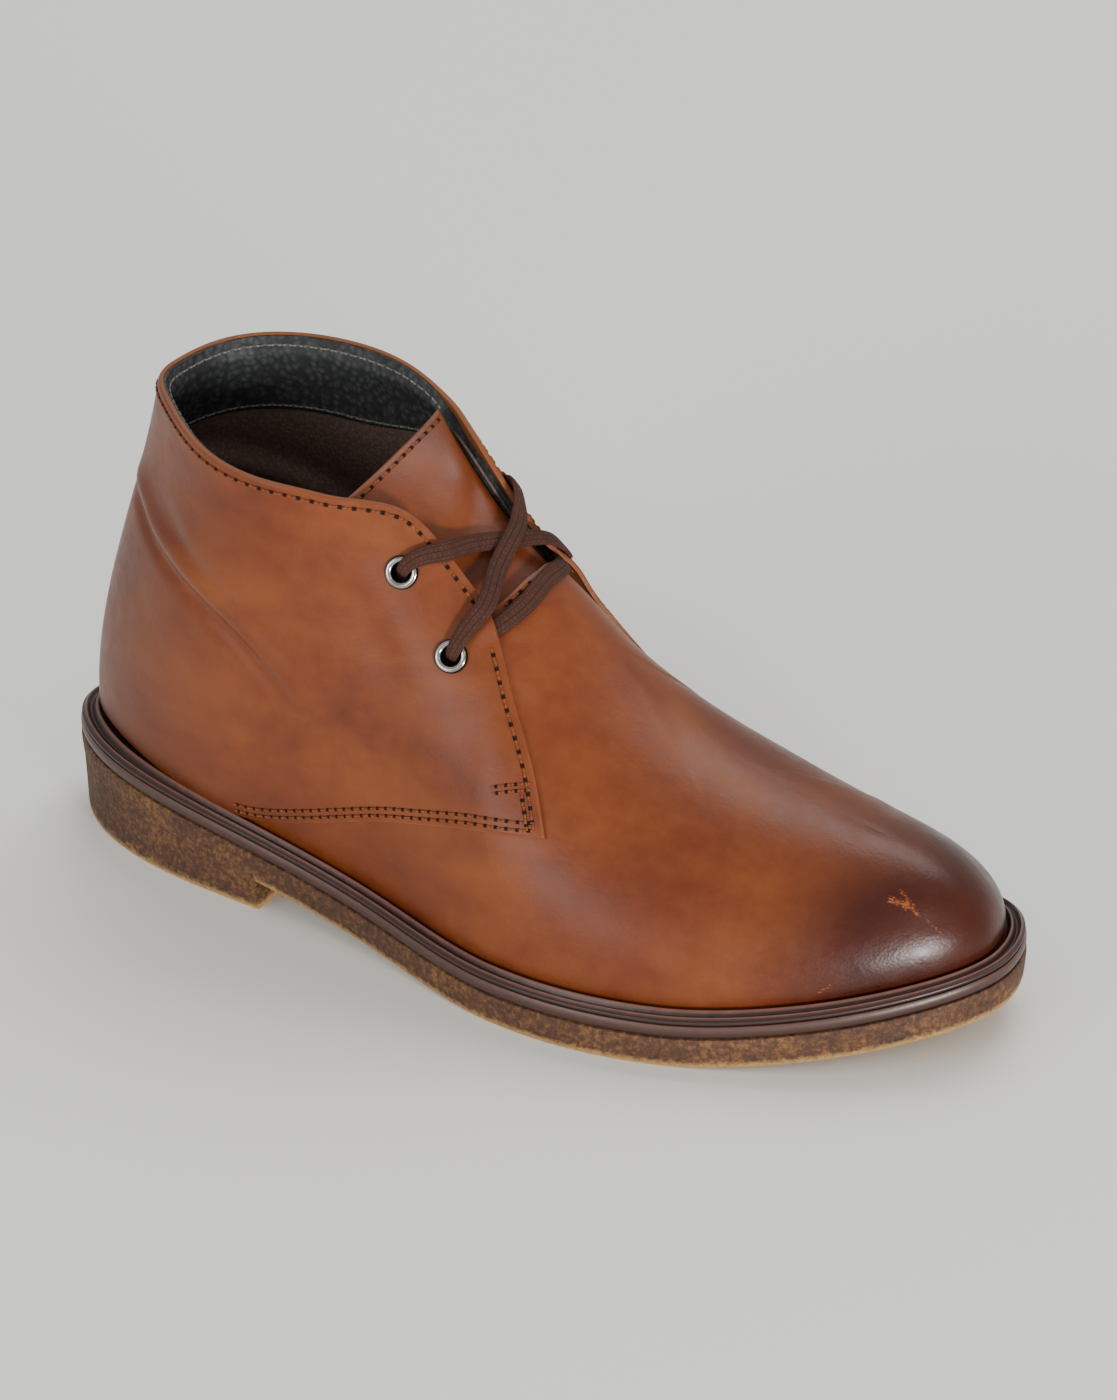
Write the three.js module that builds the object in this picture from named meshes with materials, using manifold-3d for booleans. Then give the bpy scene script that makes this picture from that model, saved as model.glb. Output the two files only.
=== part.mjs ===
// A chukka boot for the right foot, in millimetres. It is drawn with the back of its sole at
// x = 0, the toe towards +X, the inner side of the foot towards +Y and the floor at z = 0.
// At the end the whole boot is moved so that the middle of its floor rectangle is the origin.
import * as THREE from 'three';
import { mergeVertices } from 'three/addons/utils/BufferGeometryUtils.js';
import Module from 'manifold-3d';

const wasm = await Module();
wasm.setup();

// Driving sizes.
const length = 303;          // outsole, back to toe
const gap = 0.3;             // between pieces that lie on each other
const heelRise = 16;         // underside of the outsole above the floor at the back
const heelLength = 84;
const treadFrom = 172;       // the forefoot lies flat on the floor from here
const treadTo = 224;         // to here, and then springs up to the toe
const toeSpring = 12.9;
const outsoleThick = 9.4;
const midsoleThick = 3.7;
const insoleThick = 3;
const upperWall = 2.2;
const quarterWall = 1.5;
const tongueWall = 2.2;
const weltOverhang = 0.7;    // the welt stops this far inside the edge of the sole
const weltClear = 1.05;      // and this far outside the foot of the upper, which leans over it
const throatTurn = 0.47;     // the ridge ends and the throat opens at this turn
const cutterReach = 5;       // to each side of the last's face
const stepsOnRidge = 17;     // along each side, from the toe to the throat
const stepsOnCollar = 20;    // and from there to the back
const stepsUp = 10;

// Half widths of the sole from the line between its back and its toe, at shares of its length.
const sole = {
  outer: {
    sign: -1,
    rows: [
      { at: 1, wide: 0 }, { at: 0.945, wide: 26.5 }, { at: 0.84, wide: 46.7 },
      { at: 0.7, wide: 61.5 }, { at: 0.56, wide: 61.1 }, { at: 0.42, wide: 49.2 },
      { at: 0.28, wide: 42.3 }, { at: 0.14, wide: 35.8 }, { at: 0.045, wide: 22 },
      { at: 0, wide: 0 },
    ],
  },
  inner: {
    sign: 1,
    rows: [
      { at: 1, wide: 0 }, { at: 0.95, wide: 32 }, { at: 0.86, wide: 42.9 },
      { at: 0.74, wide: 48.8 }, { at: 0.6, wide: 44.4 }, { at: 0.46, wide: 35.8 },
      { at: 0.3, wide: 34 }, { at: 0.15, wide: 35 }, { at: 0.05, wide: 25.1 },
      { at: 0, wide: 0 },
    ],
  },
};

// The last is read by turn, 0 at the toe and 1 at the back, and by height, 0 at the sole and 1
// on the top line. Each turn has one meridian, a cubic with its foot on the sole and its head
// on the top line. The foot stands inset from the sole's edge, leans out and rises so far.
const foot = {
  outer: [
    { turn: 0, inset: 6.4, lean: 14, rise: 15 }, { turn: 0.15, inset: 6.4, lean: 13, rise: 17 },
    { turn: 0.3, inset: 6.2, lean: 10, rise: 24 }, { turn: 0.45, inset: 6, lean: 8, rise: 33 },
    { turn: 0.6, inset: 5.8, lean: 8, rise: 40 }, { turn: 0.75, inset: 6.2, lean: 6, rise: 40 },
    { turn: 0.9, inset: 7.8, lean: 1, rise: 38 }, { turn: 1, inset: 7.8, lean: 3, rise: 36 },
  ],
  inner: [
    { turn: 0, inset: 6.4, lean: 14, rise: 15 }, { turn: 0.15, inset: 6.4, lean: 12, rise: 18 },
    { turn: 0.3, inset: 6.2, lean: 6, rise: 26 }, { turn: 0.45, inset: 6, lean: 0, rise: 36 },
    { turn: 0.6, inset: 5.8, lean: 2, rise: 42 }, { turn: 0.75, inset: 6.2, lean: 7, rise: 42 },
    { turn: 0.9, inset: 7.8, lean: 5, rise: 38 }, { turn: 1, inset: 7.8, lean: 3, rise: 36 },
  ],
};

// The top line: up the ridge from the toe to the foot of the throat, then up one side of the
// throat and round the collar to the back.
const ridge = [
  { turn: 0, x: 262, z: 55 }, { turn: 0.12, x: 252, z: 57 }, { turn: 0.24, x: 226, z: 63.5 },
  { turn: 0.36, x: 190, z: 79.5 }, { turn: 0.42, x: 170, z: 94.3 },
  { turn: throatTurn, x: 153, z: 110.8 },
];
const collar = {
  outer: [
    { turn: throatTurn, x: 153, y: 0, z: 110.8 }, { turn: 0.5, x: 144, y: -2.5, z: 119.3 },
    { turn: 0.53, x: 135.5, y: -7.5, z: 127.3 }, { turn: 0.57, x: 126, y: -14.5, z: 134 },
    { turn: 0.61, x: 117.5, y: -21, z: 136.5 }, { turn: 0.65, x: 110.5, y: -26, z: 135.3 },
    { turn: 0.7, x: 102, y: -30, z: 134 }, { turn: 0.77, x: 86, y: -33, z: 134.5 },
    { turn: 0.84, x: 66, y: -28.5, z: 136.3 }, { turn: 0.92, x: 44.5, y: -14, z: 140 },
    { turn: 1, x: 33, y: 4, z: 141.5 },
  ],
  inner: [
    { turn: throatTurn, x: 153, y: 0, z: 110.8 }, { turn: 0.5, x: 144, y: 2.5, z: 119.8 },
    { turn: 0.53, x: 135.5, y: 7, z: 128.3 }, { turn: 0.57, x: 126, y: 13.5, z: 135.8 },
    { turn: 0.61, x: 118, y: 20, z: 139 }, { turn: 0.65, x: 111, y: 26, z: 139.3 },
    { turn: 0.7, x: 102, y: 31, z: 140 }, { turn: 0.77, x: 84, y: 36, z: 142.8 },
    { turn: 0.84, x: 60, y: 36, z: 143.4 }, { turn: 0.92, x: 38.5, y: 26, z: 142 },
    { turn: 1, x: 33, y: 4, z: 141.5 },
  ],
};
// How fast the top line runs, per turn, where the throat opens and across the back.
const throatPace = { x: -325, y: 0, z: 290 };
const backPace = 290;

// How the meridian arrives at the top line: back over the toe, across the ridge, up the collar.
const head = {
  outer: [
    { turn: 0, x: -22, y: 0, z: 3 }, { turn: 0.06, x: -18, y: 12, z: 2.5 },
    { turn: 0.14, x: -9, y: 22, z: 1.5 }, { turn: 0.24, x: -2, y: 28, z: 0 },
    { turn: 0.36, x: 0, y: 30, z: 0 }, { turn: 0.42, x: 0, y: 28, z: 0 },
    { turn: throatTurn, x: -1, y: 25, z: 0 }, { turn: 0.5, x: -1.5, y: 20.5, z: 1.5 },
    { turn: 0.53, x: -2, y: 15, z: 4 }, { turn: 0.57, x: -2, y: 9, z: 8 },
    { turn: 0.61, x: -3, y: 6, z: 17 }, { turn: 0.66, x: -4, y: 4, z: 27 },
    { turn: 0.71, x: -3, y: 2, z: 34 }, { turn: 0.77, x: 0, y: 0, z: 38 },
    { turn: 0.84, x: 3, y: 0, z: 38 }, { turn: 0.92, x: 6, y: 0, z: 38 },
    { turn: 1, x: 8, y: 0, z: 38 },
  ],
  inner: [
    { turn: 0, x: -22, y: 0, z: 3 }, { turn: 0.06, x: -18, y: -12, z: 2.5 },
    { turn: 0.14, x: -9, y: -20, z: 1.5 }, { turn: 0.24, x: -2, y: -24, z: 0 },
    { turn: 0.36, x: 0, y: -25, z: 0 }, { turn: 0.42, x: 0, y: -23.5, z: 0 },
    { turn: throatTurn, x: -1, y: -21.5, z: 0 }, { turn: 0.5, x: -1.5, y: -18, z: 1.5 },
    { turn: 0.53, x: -2, y: -13.5, z: 4 }, { turn: 0.57, x: -2, y: -8.5, z: 8 },
    { turn: 0.61, x: -3, y: -7, z: 17 }, { turn: 0.66, x: -4, y: -6, z: 27 },
    { turn: 0.71, x: -3, y: -4, z: 34 }, { turn: 0.77, x: 0, y: -3, z: 38 },
    { turn: 0.84, x: 3, y: -2, z: 38 }, { turn: 0.92, x: 6, y: 0, z: 38 },
    { turn: 1, x: 8, y: 0, z: 38 },
  ],
};
const headPace = 220;        // how fast the arrival turns sideways at the toe

// Edges of the panels, by turn and height. The quarter's foot runs along the welt from the back
// and then up its seam to the tip; its front runs from the tip up the throat to the collar.
const quarterFoot = [
  { turn: 0.9985, height: 0.034 }, { turn: 0.86, height: 0.032 }, { turn: 0.72, height: 0.034 },
  { turn: 0.668, height: 0.097 }, { turn: 0.588, height: 0.192 }, { turn: 0.537, height: 0.243 },
  { turn: 0.478, height: 0.308 }, { turn: 0.43, height: 0.367 }, { turn: 0.4, height: 0.413 },
];
const quarterFront = {
  outer: [
    { turn: 0.4, height: 0.413 }, { turn: 0.423, height: 0.553 }, { turn: 0.45, height: 0.643 },
    { turn: 0.482, height: 0.737 }, { turn: 0.51, height: 0.767 }, { turn: 0.54, height: 0.805 },
    { turn: 0.577, height: 0.863 }, { turn: 0.615, height: 0.908 }, { turn: 0.645, height: 0.945 },
    { turn: 0.68, height: 0.975 }, { turn: 0.715, height: 1 }, { turn: 0.735, height: 1.04 },
  ],
  inner: [
    { turn: 0.4, height: 0.413 }, { turn: 0.423, height: 0.57 }, { turn: 0.45, height: 0.68 },
    { turn: 0.482, height: 0.775 }, { turn: 0.51, height: 0.815 }, { turn: 0.54, height: 0.86 },
    { turn: 0.577, height: 0.9 }, { turn: 0.615, height: 0.935 }, { turn: 0.645, height: 0.962 },
    { turn: 0.68, height: 0.985 }, { turn: 0.71, height: 1.005 }, { turn: 0.73, height: 1.04 },
  ],
};
// The throat of the upper: across the edge of the vamp, then up inside the quarter's front.
const throat = {
  outer: [
    { turn: 0.463, height: 0.98 }, { turn: 0.467, height: 0.87 }, { turn: 0.476, height: 0.755 },
    { turn: 0.492, height: 0.7 }, { turn: 0.52, height: 0.735 }, { turn: 0.55, height: 0.785 },
    { turn: 0.58, height: 0.83 }, { turn: 0.615, height: 0.87 }, { turn: 0.648, height: 0.91 },
    { turn: 0.69, height: 0.952 }, { turn: 0.73, height: 0.99 }, { turn: 0.755, height: 1.04 },
  ],
  inner: [
    { turn: 0.463, height: 0.98 }, { turn: 0.467, height: 0.88 }, { turn: 0.476, height: 0.79 },
    { turn: 0.492, height: 0.745 }, { turn: 0.52, height: 0.785 }, { turn: 0.55, height: 0.83 },
    { turn: 0.58, height: 0.865 }, { turn: 0.615, height: 0.9 }, { turn: 0.648, height: 0.93 },
    { turn: 0.69, height: 0.965 }, { turn: 0.73, height: 0.995 }, { turn: 0.75, height: 1.04 },
  ],
};

// Eyelets, two a side, and the profile of one: its tube goes through quarter and upper.
const eyelets = [
  { name: 'eyelet_outer_top', side: 'outer', turn: 0.572, height: 0.7 },
  { name: 'eyelet_outer_low', side: 'outer', turn: 0.51, height: 0.593 },
  { name: 'eyelet_inner_top', side: 'inner', turn: 0.572, height: 0.74 },
  { name: 'eyelet_inner_low', side: 'inner', turn: 0.51, height: 0.635 },
];
const eyelet = { bore: 2.6, tube: 3, flange: 4.8, thick: 0.9 };

// The tongue's middle line and its two sides, from under the vamp to its top edge. The sides
// lie inside the upper, this deep under its face.
const tongueMiddle = [
  { along: 0, x: 165.5, z: 95 }, { along: 0.18, x: 153.5, z: 105 },
  { along: 0.45, x: 137, z: 116.6 }, { along: 0.75, x: 121, z: 127.2 },
  { along: 1, x: 110, z: 133.5 },
];
const tongueSide = [
  { along: 0, turn: 0.435, height: 0.72, deep: 2.8 },
  { along: 0.18, turn: 0.472, height: 0.66, deep: 4.2 },
  { along: 0.45, turn: 0.53, height: 0.68, deep: 4.6 },
  { along: 0.75, turn: 0.6, height: 0.8, deep: 4.6 },
  { along: 1, turn: 0.655, height: 0.94, deep: 4.4 },
];

// The lace, one flat strip: out of the outer top eyelet, over to the inner low one, back inside
// to the outer low one, and over to the inner top one. Each row is a place on one side of the
// last, by turn and height, or on the tongue, by share along and across it.
const lace = [
  { on: 'outer', turn: 0.572, height: 0.7, lift: -2.4, wide: 3.6, thick: 2 },
  { on: 'outer', turn: 0.572, height: 0.7, lift: 1.6, wide: 3.6, thick: 2 },
  { on: 'outer', turn: 0.566, height: 0.732, lift: 4.8, wide: 4.4, thick: 1.6 },
  { on: 'outer', turn: 0.55, height: 0.785, lift: 4, wide: 5.6, thick: 1.4 },
  { on: 'outer', turn: 0.535, height: 0.85, lift: 3.2, wide: 5.6, thick: 1.4 },
  { on: 'tongue', along: 0.42, across: 0, lift: 2.6, wide: 5.6, thick: 1.4 },
  { on: 'inner', turn: 0.496, height: 0.83, lift: 3.2, wide: 5.6, thick: 1.4 },
  { on: 'inner', turn: 0.503, height: 0.74, lift: 3.9, wide: 5.6, thick: 1.4 },
  { on: 'inner', turn: 0.508, height: 0.668, lift: 4.8, wide: 4.4, thick: 1.6 },
  { on: 'inner', turn: 0.51, height: 0.635, lift: 1.6, wide: 3.6, thick: 2 },
  { on: 'inner', turn: 0.51, height: 0.635, lift: -1.6, wide: 3.6, thick: 2 },
  { on: 'inner', turn: 0.508, height: 0.66, lift: -3.35, wide: 4.6, thick: 1.2 },
  { on: 'tongue', along: 0.3, across: 0.8, lift: 1, wide: 5.6, thick: 1.2 },
  { on: 'tongue', along: 0.28, across: 0.4, lift: 1, wide: 5.6, thick: 1.2 },
  { on: 'tongue', along: 0.28, across: 0, lift: 1, wide: 5.6, thick: 1.2 },
  { on: 'tongue', along: 0.28, across: -0.4, lift: 1, wide: 5.6, thick: 1.2 },
  { on: 'tongue', along: 0.3, across: -0.8, lift: 1, wide: 5.6, thick: 1.2 },
  { on: 'outer', turn: 0.508, height: 0.618, lift: -3.35, wide: 4.6, thick: 1.2 },
  { on: 'outer', turn: 0.51, height: 0.593, lift: -1.6, wide: 3.6, thick: 2 },
  { on: 'outer', turn: 0.51, height: 0.593, lift: 1.6, wide: 3.6, thick: 2 },
  { on: 'outer', turn: 0.51, height: 0.625, lift: 4.8, wide: 4.4, thick: 1.6 },
  { on: 'outer', turn: 0.511, height: 0.7, lift: 4, wide: 5.6, thick: 1.4 },
  { on: 'outer', turn: 0.514, height: 0.8, lift: 4.4, wide: 5.6, thick: 1.4 },
  { on: 'tongue', along: 0.46, across: 0, lift: 5, wide: 5.6, thick: 1.4 },
  { on: 'inner', turn: 0.552, height: 0.9, lift: 4.4, wide: 5.6, thick: 1.4 },
  { on: 'inner', turn: 0.567, height: 0.82, lift: 4, wide: 5.6, thick: 1.4 },
  { on: 'inner', turn: 0.572, height: 0.77, lift: 4.8, wide: 4.4, thick: 1.6 },
  { on: 'inner', turn: 0.572, height: 0.74, lift: 1.6, wide: 3.6, thick: 2 },
  { on: 'inner', turn: 0.572, height: 0.74, lift: -2.4, wide: 3.6, thick: 2 },
];
const laceSteps = 66;
const laceSides = 8;

const looks = {
  outsole: { color: 0x7a4a22, roughness: 0.8, metalness: 0 },
  midsole: { color: 0x3b302e, roughness: 0.6, metalness: 0 },
  welt: { color: 0x3a2420, roughness: 0.45, metalness: 0 },
  insole: { color: 0x2a2320, roughness: 0.8, metalness: 0 },
  upper: { color: 0x8a4a2c, roughness: 0.4, metalness: 0 },
  quarter: { color: 0x91502f, roughness: 0.4, metalness: 0 },
  tongue: { color: 0x8f5233, roughness: 0.45, metalness: 0 },
  eyelet: { color: 0x9a9a9c, roughness: 0.3, metalness: 1 },
  lace: { color: 0x4a332b, roughness: 0.8, metalness: 0 },
};

// A smooth curve through the rows' values: a cubic spline over one column, with its slopes at
// both ends given, or straight there when they are not.
function curve(rows, over, value, startSlope = null, endSlope = null) {
  const x = rows.map((row) => row[over]);
  const y = rows.map((row) => row[value]);
  const last = x.length - 1;
  const below = new Array(last + 1).fill(0);
  const diagonal = new Array(last + 1).fill(1);
  const above = new Array(last + 1).fill(0);
  const right = new Array(last + 1).fill(0);
  for (let i = 1; i < last; i += 1) {
    below[i] = x[i] - x[i - 1];
    above[i] = x[i + 1] - x[i];
    diagonal[i] = 2 * (below[i] + above[i]);
    right[i] = 6 * ((y[i + 1] - y[i]) / above[i] - (y[i] - y[i - 1]) / below[i]);
  }
  if (startSlope !== null) {
    above[0] = x[1] - x[0];
    diagonal[0] = 2 * above[0];
    right[0] = 6 * ((y[1] - y[0]) / above[0] - startSlope);
    below[last] = x[last] - x[last - 1];
    diagonal[last] = 2 * below[last];
    right[last] = 6 * (endSlope - (y[last] - y[last - 1]) / below[last]);
  }
  for (let i = 1; i <= last; i += 1) {
    const share = below[i] / diagonal[i - 1];
    diagonal[i] -= share * above[i - 1];
    right[i] -= share * right[i - 1];
  }
  const bend = new Array(last + 1).fill(0);
  bend[last] = right[last] / diagonal[last];
  for (let i = last - 1; i >= 0; i -= 1) {
    bend[i] = (right[i] - above[i] * bend[i + 1]) / diagonal[i];
  }
  return (at) => {
    const here = THREE.MathUtils.clamp(at, x[0], x[last]);
    let i = 0;
    while (i < last - 1 && here > x[i + 1]) i += 1;
    const span = x[i + 1] - x[i];
    const done = here - x[i];
    const left = x[i + 1] - here;
    return (bend[i] * left ** 3 + bend[i + 1] * done ** 3) / (6 * span)
      + (y[i] / span - (bend[i] * span) / 6) * left
      + (y[i + 1] / span - (bend[i + 1] * span) / 6) * done;
  };
}

// The sole's edge on one side as curves over the turn, paced by the length of its chords.
function edgeCurves({ sign, rows }) {
  const knots = [];
  let run = 0;
  rows.forEach((row, i) => {
    const x = row.at * length;
    if (i > 0) run += Math.hypot(x - knots[i - 1].x, row.wide - knots[i - 1].wide);
    knots.push({ x, wide: row.wide, run });
  });
  const rowsByTurn = knots.map((knot) => ({ turn: knot.run / run, x: knot.x, y: sign * knot.wide }));
  return {
    x: curve(rowsByTurn, 'turn', 'x', 0, 0),
    y: curve(rowsByTurn, 'turn', 'y', sign * run, -sign * run),
  };
}

function sideCurves(side) {
  const across = sole[side].sign;
  return {
    edge: edgeCurves(sole[side]),
    sign: across,
    inset: curve(foot[side], 'turn', 'inset', 0, 0),
    lean: curve(foot[side], 'turn', 'lean', 0, 0),
    rise: curve(foot[side], 'turn', 'rise', 0, 0),
    collar: ['x', 'y', 'z'].map((axis) => curve(
      collar[side], 'turn', axis, throatPace[axis], axis === 'y' ? -across * backPace : 0,
    )),
    head: ['x', 'y', 'z'].map((axis) => curve(
      head[side], 'turn', axis, axis === 'y' ? -across * headPace : 0, 0,
    )),
  };
}

const curves = { outer: sideCurves('outer'), inner: sideCurves('inner') };
const ridgeX = curve(ridge, 'turn', 'x', 0, throatPace.x);
const ridgeZ = curve(ridge, 'turn', 'z', 0, throatPace.z);

// The edge of the sole at a turn, moved in by an inset, with its outward direction.
function soleEdge(side, turn, inset) {
  const { edge } = curves[side];
  const from = Math.max(turn - 1e-4, 0);
  const to = Math.min(turn + 1e-4, 1);
  const out = new THREE.Vector3(edge.y(to) - edge.y(from), edge.x(from) - edge.x(to), 0);
  out.normalize().multiplyScalar(curves[side].sign);
  const place = new THREE.Vector3(edge.x(turn), edge.y(turn), 0).addScaledVector(out, -inset);
  return { place, out };
}

// The underside of the outsole: a wave up to the heel, flat at the tread, then the toe spring.
function underside(x) {
  const toHeel = THREE.MathUtils.clamp((treadFrom - x) / treadFrom, 0, 1);
  const toToe = Math.max((x - treadTo) / (length - treadTo), 0);
  return heelRise * Math.sin((Math.PI / 2) * toHeel ** 0.9) ** 2 + toeSpring * toToe ** 1.7;
}

const midsoleLow = outsoleThick + gap;
const seat = midsoleLow + midsoleThick + gap;    // where upper, welt and insole stand

// The face of the last at a turn and a height: one point of the meridian.
function lastPoint(side, turn, height) {
  const c = curves[side];
  const { place, out } = soleEdge(side, turn, c.inset(turn));
  const lean = THREE.MathUtils.degToRad(c.lean(turn));
  const rise = c.rise(turn);
  const start = place.clone().setZ(underside(place.x) + seat);
  const afterStart = start.clone().addScaledVector(out, Math.sin(lean) * rise);
  afterStart.z += Math.cos(lean) * rise;
  const end = turn < throatTurn
    ? new THREE.Vector3(ridgeX(turn), 0, ridgeZ(turn))
    : new THREE.Vector3(...c.collar.map((axis) => axis(turn)));
  const beforeEnd = end.clone().sub(new THREE.Vector3(...c.head.map((axis) => axis(turn))));
  const left = 1 - height;
  return new THREE.Vector3()
    .addScaledVector(start, left ** 3)
    .addScaledVector(afterStart, 3 * left * left * height)
    .addScaledVector(beforeEnd, 3 * left * height * height)
    .addScaledVector(end, height ** 3);
}

// The outward direction of the last's face, from its slopes along the turn and the height.
function sideNormal(side, turn, height) {
  const step = 0.004;
  const t = THREE.MathUtils.clamp(turn, 0.002, 0.998);
  const h = Math.min(height, 0.992);
  const along = lastPoint(side, t + step / 2, h).sub(lastPoint(side, t - step / 2, h));
  const up = lastPoint(side, t, h + step).sub(lastPoint(side, t, h - step));
  return along.cross(up).multiplyScalar(curves[side].sign).normalize();
}

// The same, but on the ridge, where both sides meet, it is halfway between theirs.
function lastNormal(side, turn, height) {
  const normal = sideNormal(side, turn, height);
  const onRidge = height > 0.999 && turn < throatTurn + 1e-6;
  if (onRidge || turn < 1e-6) {
    const other = side === 'outer' ? 'inner' : 'outer';
    normal.add(sideNormal(other, turn, height));
    normal.y = 0;
  }
  return normal.normalize();
}

function onLast(side, turn, height, lift) {
  return lastPoint(side, turn, height).addScaledVector(lastNormal(side, turn, height), lift);
}

// The places all round the boot: from the back, along the outer side to the toe, and along the
// inner side to the back again.
const turnsOfSide = Array.from({ length: stepsOnRidge + stepsOnCollar + 1 }, (_, i) => (
  i <= stepsOnRidge
    ? (throatTurn * i) / stepsOnRidge
    : throatTurn + ((1 - throatTurn) * (i - stepsOnRidge)) / stepsOnCollar
));
const placesRound = [
  ...turnsOfSide.slice(1).reverse().map((turn) => ({ side: 'outer', turn })),
  ...turnsOfSide.slice(0, -1).map((turn) => ({ side: 'inner', turn })),
];
const stepsRound = placesRound.length;

// A closed mesh from points and triangles, its shared points merged and slivers dropped.
function geometryOf(points, triangles) {
  const geometry = new THREE.BufferGeometry().setFromPoints(points);
  geometry.setIndex(triangles.flat());
  const merged = mergeVertices(geometry, 1e-4);
  const index = merged.index.array;
  const kept = [];
  for (let i = 0; i < index.length; i += 3) {
    const [a, b, c] = [index[i], index[i + 1], index[i + 2]];
    if (a !== b && b !== c && c !== a) kept.push(a, b, c);
  }
  merged.setIndex(kept);
  return merged;
}

// A sheet with a thickness: rows of points on its face and as many on its back. It is closed
// along the rows when it goes round, and its rims are closed where rimmed says so.
function sheet(face, back, { round = false, rimmed = () => true } = {}) {
  const rows = face.length;
  const columns = face[0].length;
  const points = [...face.flat(), ...back.flat()];
  const at = (row, column, layer) => (
    layer * rows * columns + (row % rows) * columns + column
  );
  const triangles = [];
  const quad = (a, b, c, d) => triangles.push([a, b, c], [a, c, d]);
  const rowSteps = round ? rows : rows - 1;
  for (let i = 0; i < rowSteps; i += 1) {
    for (let j = 0; j < columns - 1; j += 1) {
      quad(at(i, j, 0), at(i + 1, j, 0), at(i + 1, j + 1, 0), at(i, j + 1, 0));
      quad(at(i, j, 1), at(i, j + 1, 1), at(i + 1, j + 1, 1), at(i + 1, j, 1));
    }
    quad(at(i, 0, 0), at(i, 0, 1), at(i + 1, 0, 1), at(i + 1, 0, 0));
    const top = columns - 1;
    if (rimmed(i)) quad(at(i, top, 0), at(i + 1, top, 0), at(i + 1, top, 1), at(i, top, 1));
  }
  if (!round) {
    for (let j = 0; j < columns - 1; j += 1) {
      quad(at(0, j, 0), at(0, j + 1, 0), at(0, j + 1, 1), at(0, j, 1));
      const end = rows - 1;
      quad(at(end, j, 0), at(end, j, 1), at(end, j + 1, 1), at(end, j + 1, 0));
    }
  }
  return geometryOf(points, triangles);
}

function solidOf(geometry) {
  const bare = geometry.clone();
  bare.deleteAttribute('normal');
  bare.deleteAttribute('uv');
  const merged = mergeVertices(bare, 1e-4);
  return new wasm.Manifold(new wasm.Mesh({
    numProp: 3,
    vertProperties: new Float32Array(merged.attributes.position.array),
    triVerts: new Uint32Array(merged.index.array),
  }));
}

// The mesh of a solid's largest body: a cut along the ridge may leave a sliver beside it.
function geometryFrom(solid) {
  const bodies = solid.simplify(0.06).decompose().sort((a, b) => b.volume() - a.volume());
  const mesh = bodies[0].getMesh();
  const geometry = new THREE.BufferGeometry();
  geometry.setAttribute('position', new THREE.BufferAttribute(mesh.vertProperties, 3));
  geometry.setIndex(new THREE.BufferAttribute(mesh.triVerts, 1));
  return geometry;
}

// The last's face all round, between two depths. Its two sides meet on the ridge.
function lastShell(outerLift, innerLift) {
  const layer = (lift) => placesRound.map(({ side, turn }) => Array.from(
    { length: stepsUp + 1 },
    (_, j) => onLast(side, turn, j / stepsUp, lift),
  ));
  const turnAfter = (i) => placesRound[(i + 1) % stepsRound].turn;
  const opens = (i) => (placesRound[i].turn + turnAfter(i)) / 2 > throatTurn;
  return sheet(layer(outerLift), layer(innerLift), { round: true, rimmed: opens });
}

// A curve through rows of turn and height, read by its share of the whole.
function edgePath(rows) {
  const counted = rows.map((row, i) => ({ ...row, share: i / (rows.length - 1) }));
  const turn = curve(counted, 'share', 'turn');
  const height = curve(counted, 'share', 'height');
  return (share) => ({ turn: turn(share), height: height(share) });
}

// A cutter over the part of the last between two paths, thick enough to pass every layer. Which
// way it faces depends on which way its paths run, so it is turned if it comes out inside out.
function cutter(side, low, high, steps, rungs) {
  const layer = (lift) => Array.from({ length: steps + 1 }, (_, i) => {
    const a = low(i / steps);
    const b = high(i / steps);
    return Array.from({ length: rungs + 1 }, (__, j) => {
      const turn = THREE.MathUtils.lerp(a.turn, b.turn, j / rungs);
      const height = THREE.MathUtils.lerp(a.height, b.height, j / rungs);
      return onLast(side, turn, height, lift);
    });
  });
  const solid = solidOf(sheet(layer(cutterReach), layer(-cutterReach)));
  return solid.volume() > 0 ? solid : solidOf(sheet(layer(-cutterReach), layer(cutterReach)));
}

function throatCutter(side) {
  const low = edgePath(throat[side]);
  const high = (share) => ({ turn: low(share).turn, height: 1.05 });
  return cutter(side, low, high, 18, 4);
}

function quarterCutter(side) {
  const low = edgePath(quarterFoot);
  const front = edgePath([...quarterFront[side]].reverse());
  const frontStart = 0.5;
  const collarEnd = quarterFront[side].at(-1).turn;
  const high = (share) => (share < frontStart
    ? { turn: THREE.MathUtils.lerp(0.9985, collarEnd, share / frontStart), height: 1.04 }
    : front((share - frontStart) / (1 - frontStart)));
  return cutter(side, low, high, 30, 8);
}

// Turns a piece that is drawn along +Z to stand on the last's face, its z = 0 on the face.
function standOnLast(geometry, { side, turn, height }) {
  const normal = lastNormal(side, turn, height);
  const turned = new THREE.Quaternion().setFromUnitVectors(new THREE.Vector3(0, 0, 1), normal);
  const place = lastPoint(side, turn, height);
  return geometry.applyQuaternion(turned).translate(place.x, place.y, place.z);
}

function eyeletHole(spot) {
  const hole = new THREE.CylinderGeometry(eyelet.tube + 0.4, eyelet.tube + 0.4, 14, 12);
  hole.rotateX(Math.PI / 2);
  return solidOf(standOnLast(hole, spot));
}

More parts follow.
